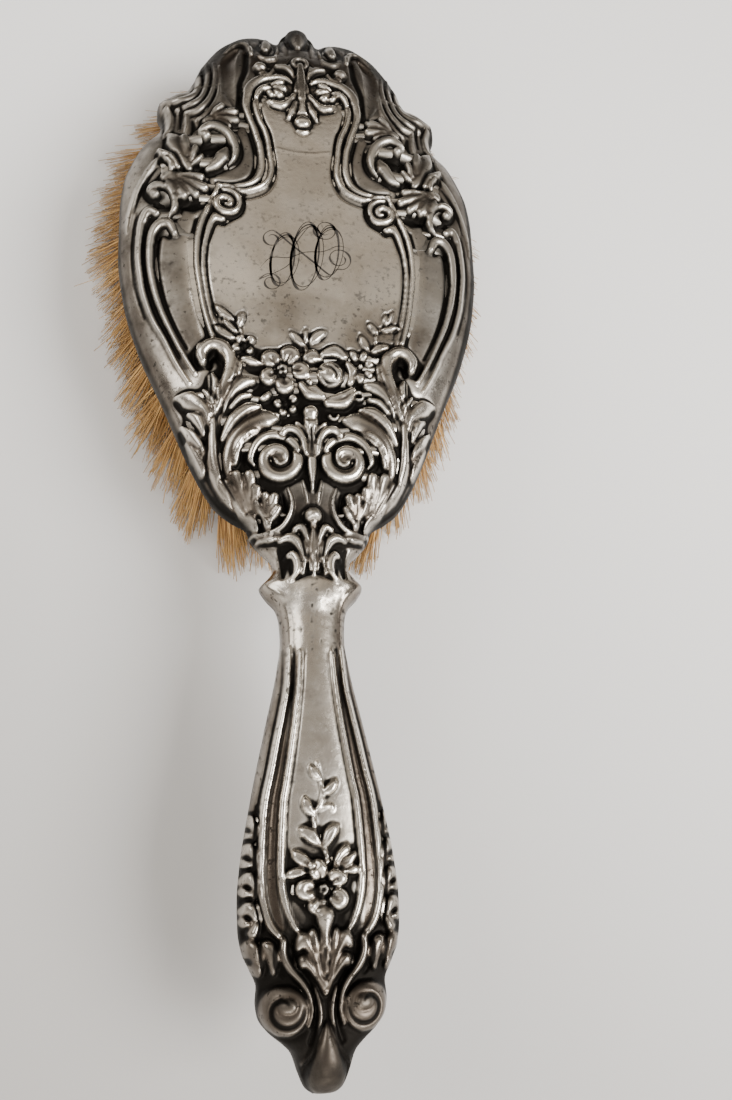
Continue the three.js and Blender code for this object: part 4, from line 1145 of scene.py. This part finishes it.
def engraving():
    """Dark ribbons just above the shield, one for each pen path."""
    vertices, faces = [], []
    cos, sin = math.cos(FLOURISH_TILT), math.sin(FLOURISH_TILT)
    for path, half in flourish_paths():
        path = path @ np.array([[cos, sin], [-sin, cos]]) + FLOURISH_CENTRE
        step = np.gradient(path, axis=0)
        across = np.stack([-step[:, 1], step[:, 0]], 1) / np.linalg.norm(step, axis=1)[:, None]
        start, count = len(vertices), len(path)
        for side in (path - across * half[:, None], path + across * half[:, None]):
            z = front_height(side[:, 0], side[:, 1]) + LINE_LIFT
            vertices += list(np.column_stack([side, z]))
        far = start + count
        faces += [(start + k, start + k + 1, far + k + 1, far + k) for k in range(count - 1)]
    return mesh_object("engraved_flourish", to_model(vertices), faces, flip=True)


# ---------------------------------------------------------------- bristles

ROW_COUNT = 14
ROW_FIRST, ROW_LAST = 121, 225.5
TIP_ROW_FIRST, TIP_ROW_LAST = 110, 235.5
TUFT_PITCH, TUFT_MARGIN, TIP_MARGIN = 8, 3, 4.5
ROOT_RADIUS = 1.15
HAIRS_PER_TUFT, EXTRA_OUTER_HAIRS = 120, 60
HAIR_STEPS, HAIR_SIDES = 4, 3
HAIR_ROOT = 1
STRAY_SHARE, SHORT_SHARE = 0.05, 0.06
BLOCK_KNOTS = [(110, 8), (113, 13.5), (118, 18.8), (128, 23.8), (140, 29.3), (152, 33.6), (165, 36.2),
               (180, 37), (192, 35.8), (202, 32), (212, 27.3), (222, 22.3), (229, 15.5), (232.5, 7)]
TIP_KNOTS = [(110, 19.5), (120, 28.5), (130, 34.5), (139, 39.5), (149, 43), (168, 47.8), (187, 50.5),
             (199, 50.5), (208, 49), (217, 46), (226, 39.5), (235.5, 31)]


def tufts_of_row(row):
    """Each tuft's root, the middle of its spread tip, and how far the tip spreads sideways."""
    share = row / (ROW_COUNT - 1)
    root_t = ROW_FIRST + (ROW_LAST - ROW_FIRST) * share
    tip_t = TIP_ROW_FIRST + (TIP_ROW_LAST - TIP_ROW_FIRST) * share
    root_reach = np.interp(root_t, *np.array(BLOCK_KNOTS).T) - TUFT_MARGIN
    tip_reach = np.interp(tip_t, *np.array(TIP_KNOTS).T) - TIP_MARGIN
    gaps = round(2 * root_reach / TUFT_PITCH)
    for k in range(gaps + 1):
        across = 2 * k / gaps - 1
        yield (across * root_reach, root_t), (across * tip_reach, tip_t), tip_reach / gaps


def strand(start, end, top, short, curl, thick, phase):
    """Corners of one tapered hair, ring by ring from its root to its tip, bent outwards and curled."""
    s = np.linspace(0, 1, HAIR_STEPS + 1)[:, None]
    centre = start + (end - start) * s ** 1.25 + curl * np.sin(math.pi * s)
    radius = thick * (1 - 0.45 * s)
    angles = phase + np.linspace(0, 2 * math.pi, HAIR_SIDES, endpoint=False)
    z = np.repeat(top - (top - short) * s, HAIR_SIDES, 1)
    corners = [centre[:, :1] + radius * np.cos(angles), centre[:, 1:] + radius * np.sin(angles), z]
    return np.stack(corners, 2).reshape(-1, 3)


def strand_faces():
    """Faces of one closed hair, counted from its first corner."""
    n = HAIR_SIDES
    sides = [(ring * n + k, (ring + 1) * n + k, (ring + 1) * n + (k + 1) % n, ring * n + (k + 1) % n)
             for ring in range(HAIR_STEPS) for k in range(n)]
    tip = HAIR_STEPS * n
    return sides + [tuple(range(n)), tuple(range(tip + n - 1, tip - 1, -1))]


def bristle_row(row):
    """All the hairs of one row. Outer tufts are fuller, and their stray hairs stray further."""
    rng = np.random.default_rng(SEED + row)
    top = BLOCK_BOTTOM + HAIR_ROOT
    hairs, shades = [], []
    end_row = 0.5 * (row in (0, 1, ROW_COUNT - 1, ROW_COUNT - 2))
    for root, tip, spread_x in tufts_of_row(row):
        straying = 0.4 + abs(tip[0]) / 50 + end_row
        lean = rng.normal(0, 0.6, 2)
        outer = abs(tip[0]) > 0.8 * (np.interp(tip[1], *np.array(TIP_KNOTS).T) - TIP_MARGIN)
        room = np.array([spread_x * 1.02, 5.6 + 1.2 * outer])
        for _ in range(HAIRS_PER_TUFT + EXTRA_OUTER_HAIRS * outer):
            turn, far = rng.uniform(0, 2 * math.pi), math.sqrt(rng.uniform())
            out = far * np.array([math.cos(turn), math.sin(turn)])
            start = root + ROOT_RADIUS * out
            end = tip + room * out + lean + rng.normal(0, 0.6, 2)
            if rng.uniform() < STRAY_SHARE:
                end += rng.normal(0, 1.6, 2) * straying
            short = abs(rng.normal(0, 0.9)) + (rng.uniform() < SHORT_SHARE) * rng.uniform(1, 5)
            curl = rng.normal(0, 0.5, 2)
            thick, phase = rng.uniform(0.13, 0.2), rng.uniform(0, 2)
            hairs.append(strand(start, end, top, short, curl, thick, phase))
            shades.append(rng.uniform())
    corners, one_hair = len(hairs[0]), strand_faces()
    faces = [tuple(corners * k + corner for corner in face) for k in range(len(hairs)) for face in one_hair]
    made = mesh_object(f"bristles_{row + 1:02d}", to_model(np.vstack(hairs)), faces)
    along_hair = np.repeat(np.linspace(0, 1, HAIR_STEPS + 1), HAIR_SIDES)
    add_field(made, "shade", np.repeat(shades, corners))
    add_field(made, "along", np.tile(along_hair, len(hairs)))
    return made


# ---------------------------------------------------------------- materials

class Nodes:
    """Short names for building the node tree of a material or of the room."""

    def __init__(self, owner):
        owner.use_nodes = True
        self.owner = owner
        self.tree = owner.node_tree

    def link(self, source, target):
        self.tree.links.new(source, target)

    def node(self, kind, **settings):
        made = self.tree.nodes.new(kind)
        for key, value in settings.items():
            setattr(made, key, value)
        return made

    def put(self, socket, value):
        if isinstance(value, bpy.types.NodeSocket):
            self.link(value, socket)
        else:
            socket.default_value = value

    def field(self, name):
        return self.node("ShaderNodeAttribute", attribute_name=name).outputs["Fac"]

    def place(self, scale=(1, 1, 1)):
        coordinates = self.node("ShaderNodeTexCoord")
        mapping = self.node("ShaderNodeMapping")
        mapping.inputs["Scale"].default_value = scale
        self.link(coordinates.outputs["Object"], mapping.inputs["Vector"])
        return mapping.outputs["Vector"]

    def noise(self, scale, detail=4, rough=0.6, stretch=(1, 1, 1), where=None):
        made = self.node("ShaderNodeTexNoise")
        self.link(where or self.place(stretch), made.inputs["Vector"])
        made.inputs["Scale"].default_value = scale
        made.inputs["Detail"].default_value = detail
        made.inputs["Roughness"].default_value = rough
        return made.outputs["Fac"]

    def math(self, kind, a, b=0.0, clamp=False):
        made = self.node("ShaderNodeMath", operation=kind, use_clamp=clamp)
        self.put(made.inputs[0], a)
        self.put(made.inputs[1], b)
        return made.outputs[0]

    def times(self, a, b, clamp=False):
        return self.math("MULTIPLY", a, b, clamp)

    def plus(self, a, b, clamp=False):
        return self.math("ADD", a, b, clamp)

    def remap(self, value, low, high, to_low=0.0, to_high=1.0, kind="SMOOTHSTEP"):
        made = self.node("ShaderNodeMapRange", interpolation_type=kind)
        self.put(made.inputs["Value"], value)
        for key, number in (("From Min", low), ("From Max", high), ("To Min", to_low), ("To Max", to_high)):
            made.inputs[key].default_value = number
        return made.outputs["Result"]

    def mix(self, share, first, second):
        made = self.node("ShaderNodeMix", data_type="RGBA")
        self.put(made.inputs["Factor"], share)
        for socket, value in ((made.inputs["A"], first), (made.inputs["B"], second)):
            self.put(socket, (*value, 1) if isinstance(value, tuple) else value)
        return made.outputs["Result"]

    def bump(self, value, distance, strength=1.0, below=None):
        made = self.node("ShaderNodeBump")
        made.inputs["Strength"].default_value = strength
        made.inputs["Distance"].default_value = distance
        self.put(made.inputs["Height"], value)
        if below is not None:
            self.link(below, made.inputs["Normal"])
        return made.outputs["Normal"]

    def surface(self, **values):
        """Fills the shader's sockets and gives the finished material."""
        for key, value in values.items():
            socket = self.tree.nodes["Principled BSDF"].inputs[key.replace("_", " ")]
            self.put(socket, (*value, 1) if isinstance(value, tuple) else value)
        return self.owner


def material_nodes(name):
    return Nodes(bpy.data.materials.new(name))


SILVER_BRIGHT = (0.92, 0.86, 0.765)
SILVER_WARM = (0.56, 0.47, 0.365)
SILVER_DULL = (0.25, 0.22, 0.185)
SILVER_BROWN = (0.135, 0.11, 0.088)
# Near black of oxidation, also used for painted shade
OXIDE_AND_SHADE_BLACK = (0.013, 0.0115, 0.010)


def silver_material(name, fields=True):
    """Worn silver: polished high spots, warm tarnish, pits and black from oxidation in the recesses, with
    painted shade on steep sides, along the edges and over the upper end, and a painted dark reflection on the
    shield's foot.
    """
    n = material_nodes(name)
    cloudy = n.noise(45, 5, 0.65)
    patchy = n.noise(130, 6, 0.7)
    pitted = n.noise(900, 3, 0.55)
    speckle = n.noise(420, 4, 0.6)
    hollow = n.field("oxide_and_shade") if fields else n.remap(cloudy, 0.4, 0.75, 0.3, 0.7)
    worn = n.field("wear") if fields else n.remap(cloudy, 0.5, 0.7, 0.0, 0.4)
    smooth = n.field("polish") if fields else 0.0
    brown = n.field("tarnish_and_shade") if fields else 0.85

    colour = n.mix(n.times(n.remap(cloudy, 0.42, 0.68), 0.5), SILVER_BRIGHT, SILVER_WARM)
    colour = n.mix(n.remap(n.noise(24, 3, 0.55), 0.4, 0.62, 0.0, 0.3), colour, SILVER_DULL)
    dull_spots = n.math("SUBTRACT", n.remap(patchy, 0.48, 0.72, 0.0, 0.75), n.times(smooth, 0.62), True)
    colour = n.mix(dull_spots, colour, SILVER_DULL)
    # Brown: tarnish, with painted shade along the edges and over the upper end and a painted dark reflection
    # on the shield's foot
    uneven_brown = n.plus(brown, n.times(n.math("SUBTRACT", cloudy, 0.5), 1.1))
    unworn = n.math("SUBTRACT", 1.0, n.times(worn, 0.85))
    colour = n.mix(n.times(n.remap(uneven_brown, 0.05, 0.95), unworn, True), colour, SILVER_BROWN)
    colour = n.mix(n.times(worn, 0.7, True), colour, SILVER_BRIGHT)

    pits = n.times(n.remap(pitted, 0.52, 0.63), n.remap(speckle, 0.46, 0.60))
    pits = n.times(pits, n.plus(0.45, n.times(brown, 0.9)), True)
    # Black: oxidised hollow places, ground and pits, with painted shade on steep sides, along the edges and
    # over the upper end
    ragged = n.plus(hollow, n.times(n.math("SUBTRACT", patchy, 0.5), 0.35))
    black = n.math("MAXIMUM", n.remap(ragged, 0.1, 0.7), n.times(pits, 0.8))
    colour = n.mix(black, colour, OXIDE_AND_SHADE_BLACK)

    rough = n.plus(n.remap(patchy, 0.35, 0.75, 0.22, 0.36), n.times(black, 0.35))
    rough = n.math("SUBTRACT", rough, n.times(worn, 0.06))
    relief = n.bump(n.noise(210, 3, 0.5), 0.00012, 0.35, n.bump(pitted, 0.00006, 0.5))
    return n.surface(Base_Color=colour, Roughness=rough, Normal=relief, Metallic=1.0)


def wood_material(name, light, dark):
    """Lacquered wood with grain along the brush."""
    n = material_nodes(name)
    grain = n.noise(260, 6, 0.65, (1, 0.06, 1))
    bands = n.noise(60, 3, 0.5, (1, 0.15, 1))
    colour = n.mix(n.remap(grain, 0.35, 0.7), light, dark)
    colour = n.mix(n.times(n.remap(bands, 0.4, 0.65), 0.5), colour, dark)
    return n.surface(Base_Color=colour, Roughness=n.remap(grain, 0.3, 0.8, 0.35, 0.6),
                     Normal=n.bump(grain, 0.0002, 0.4), Coat_Weight=0.25, Coat_Roughness=0.3)


HAIR_BROWN, HAIR_BLOND = (0.26, 0.12, 0.03), (0.62, 0.37, 0.13)
HAIR_DARK, HAIR_TIP = (0.20, 0.085, 0.022), (0.76, 0.52, 0.24)


def bristle_material():
    """Natural boar bristle: blond to brown hair by hair, darker in patches and paler at the tips."""
    n = material_nodes("bristle")
    shade = n.field("shade")
    colour = n.mix(n.remap(shade, 0.0, 1.0), HAIR_BROWN, HAIR_BLOND)
    colour = n.mix(n.times(n.remap(n.noise(90, 3), 0.4, 0.7), 0.45), colour, HAIR_DARK)
    colour = n.mix(n.remap(n.field("along"), 0.55, 1.0, 0.0, 0.35), colour, HAIR_TIP)
    return n.surface(Base_Color=colour, Roughness=n.remap(shade, 0, 1, 0.38, 0.6), Specular_IOR_Level=0.4)


def metal_material(name, light, dark, rough):
    """Plain drawn or rolled metal for the inner parts."""
    n = material_nodes(name)
    streaks = n.noise(300, 4, 0.6, (1, 0.1, 1))
    colour = n.mix(n.remap(streaks, 0.35, 0.7), light, dark)
    uneven = n.remap(streaks, 0.3, 0.7, rough, rough + 0.2)
    return n.surface(Base_Color=colour, Metallic=1.0, Roughness=uneven, Normal=n.bump(streaks, 0.0001, 0.3))


def pitch_material():
    """Setting pitch, dark and grainy."""
    n = material_nodes("pitch")
    grit = n.noise(500, 5, 0.7)
    return n.surface(Base_Color=n.mix(grit, (0.05, 0.035, 0.025), (0.16, 0.11, 0.075)), Roughness=0.85,
                     Normal=n.bump(grit, 0.0004, 0.6))


def engraved_material():
    """Oxide left in the cut lines."""
    n = material_nodes("engraved_line")
    worn = n.noise(700, 4, 0.7)
    return n.surface(Base_Color=n.mix(n.remap(worn, 0.5, 0.8), (0.045, 0.04, 0.035), (0.16, 0.14, 0.12)),
                     Metallic=0.4, Roughness=n.remap(worn, 0.3, 0.8, 0.45, 0.7))


def floor_material():
    """Pale smooth tabletop, with painted light: lighter beyond the brush's head and to the right, darker
    towards the handle's end and the left.
    """
    n = material_nodes("tabletop")
    cloudy = n.noise(3, 4, 0.6)
    split = n.node("ShaderNodeSeparateXYZ")
    n.link(n.place(), split.inputs["Vector"])
    # Painted light: the tabletop's colour runs from dark to light across it, as light falling off from the
    # head's end and the right
    painted_light_gradient = n.plus(n.times(split.outputs["Y"], 0.8), n.times(split.outputs["X"], 0.45))
    colour = n.mix(n.remap(painted_light_gradient, -0.16, 0.1), (0.415, 0.40, 0.385), (0.95, 0.945, 0.94))
    colour = n.mix(n.times(cloudy, 0.12), colour, (0.7, 0.69, 0.68))
    return n.surface(Base_Color=colour, Roughness=0.6, Normal=n.bump(n.noise(400, 3), 0.0001, 0.15))


def dress(obj, material):
    obj.data.materials.clear()
    obj.data.materials.append(material)


def finish_piece(obj, material, slot, *replaced):
    """Gives a piece its material and its body, and hides the CAD nodes that it stands for. Its slot is not
    used.
    """
    dress(obj, material)
    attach(obj, "root")
    if replaced:
        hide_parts(*replaced)


silver = silver_material("worn_silver")
finish_piece(silver_back, silver, "silver", "back_shell")
finish_piece(silver_rear, silver, "silver", "handle_rear_shell")
finish_piece(engraving(), engraved_material(), "silver")
hair = bristle_material()
for row in range(ROW_COUNT):
    finish_piece(bristle_row(row), hair, "bristle", f"bristle_row_{row + 1:02d}")

pitch = pitch_material()
brass = metal_material("brass", (0.75, 0.56, 0.27), (0.45, 0.31, 0.13), 0.3)
CARRIED_OVER = {
    "rim_band": silver_material("rim_silver", fields=False),
    "bristle_block": wood_material("block_wood", (0.36, 0.19, 0.09), (0.13, 0.06, 0.028)),
    "backing_board": wood_material("board_wood", (0.50, 0.34, 0.19), (0.25, 0.15, 0.08)),
    "head_filler": pitch,
    "handle_filler": pitch,
    "handle_tang": metal_material("tang_steel", (0.55, 0.56, 0.58), (0.30, 0.30, 0.31), 0.35),
    "tang_pin": brass,
    "drawing_wire": brass,
}
for name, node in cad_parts.items():
    for start, material in CARRIED_OVER.items():
        if name.startswith(start):
            dress(node, material)


# ---------------------------------------------------------------- floor, light and camera

def floor_plane():
    """Tabletop, just under the bristles' ends."""
    half, steps = 900, 24
    line = np.linspace(-half, half, steps)
    vertices = [(x, y, -0.2) for y in line for x in line]
    faces = [(r * steps + c, r * steps + c + 1, (r + 1) * steps + c + 1, (r + 1) * steps + c)
             for r in range(steps - 1) for c in range(steps - 1)]
    made = mesh_object("floor", vertices, faces)
    made.data.materials.append(floor_material())


def place_object(obj, right, up, back, place):
    """Adds an object to the scene, turned so that it looks away from back."""
    bpy.context.scene.collection.objects.link(obj)
    turned = np.column_stack([right, up, back, place])
    obj.matrix_world = Matrix([*turned.tolist(), (0, 0, 0, 1)])


def area_light(name, location, target, size, power, colour, size_y=None):
    data = bpy.data.lights.new(name, "AREA")
    data.shape = "RECTANGLE"
    data.size = size
    data.size_y = size_y or size
    data.energy = power
    data.color = colour
    back = np.array(location, float) - target
    back /= np.linalg.norm(back)
    right = np.cross((0, 1, 0), back)
    right /= np.linalg.norm(right)
    place_object(bpy.data.objects.new(name, data), right, np.cross(back, right), back, location)


# (direction's y, colour): -1 is behind the handle's tip and 1 is beyond the head
ROOM_LIGHT = [
    (-1.0, (1.9, 1.84, 1.72)), (-0.6, (1.85, 1.77, 1.65)), (-0.3, (0.66, 0.62, 0.57)),
    (-0.06, (0.26, 0.24, 0.225)), (0.2, (0.42, 0.385, 0.345)), (0.52, (0.80, 0.725, 0.62)),
    (0.64, (0.66, 0.60, 0.53)), (0.8, (0.13, 0.115, 0.10)), (1.0, (0.04, 0.038, 0.036)),
]


def surroundings():
    """Soft room light: bright towards the handle's end, dark beyond the head and at the sides."""
    world = bpy.data.worlds.new("room")
    bpy.context.scene.world = world
    n = Nodes(world)
    direction = n.node("ShaderNodeTexCoord").outputs["Generated"]
    split = n.node("ShaderNodeSeparateXYZ")
    n.link(direction, split.inputs["Vector"])
    x, y = split.outputs["X"], split.outputs["Y"]
    ramp = n.node("ShaderNodeValToRGB")
    n.link(n.remap(y, -1, 1, kind="LINEAR"), ramp.inputs["Fac"])
    stops = ramp.color_ramp.elements
    stops[0].color, stops[1].color = [(*ROOM_LIGHT[k][1], 1) for k in (0, -1)]
    for place, colour in ROOM_LIGHT[1:-1]:
        stops.new((place + 1) / 2).color = (*colour, 1)
    sideways = n.math("MAXIMUM", x, n.times(x, -0.45))
    dim = n.remap(sideways, 0.15, 0.95, 1.0, 0.3, kind="LINEAR")
    uneven = n.remap(n.noise(6.5, 2, 0.5, where=direction), 0.3, 0.7, 0.82, 1.15, kind="LINEAR")
    background = n.tree.nodes["Background"]
    n.link(ramp.outputs["Color"], background.inputs["Color"])
    n.link(n.times(dim, uneven), background.inputs["Strength"])


def camera():
    """Photographer's place, above the middle of the brush and a little towards its handle."""
    data = bpy.data.cameras.new("camera")
    data.lens = 31.09
    data.sensor_width = 36
    data.clip_start = 0.01
    data.clip_end = 20
    made = bpy.data.objects.new("camera", data)
    right = np.array([0.9847, -0.0426, 0.1691])
    up = np.array([-0.0111, 0.9524, 0.3046])
    back = np.array([-0.174, -0.3018, 0.9373])
    place_object(made, right, up, back, np.array([-23.2, -79.85, 216.6]) * MM)
    bpy.context.scene.camera = made


floor_plane()
surroundings()
area_light("window", (0.98, -0.4, 1.08), (0, 0.05, 0), 0.72, 35, (1.0, 0.985, 0.96))
area_light("room_left", (-1.3, 0.45, 0.95), (0, 0, 0), 0.9, 9, (1.0, 0.975, 0.94))
area_light("behind_camera", (-0.2, -1.2, 0.65), (0, 0, 0.02), 0.9, 9, (1.0, 0.97, 0.93), 0.3)
camera()
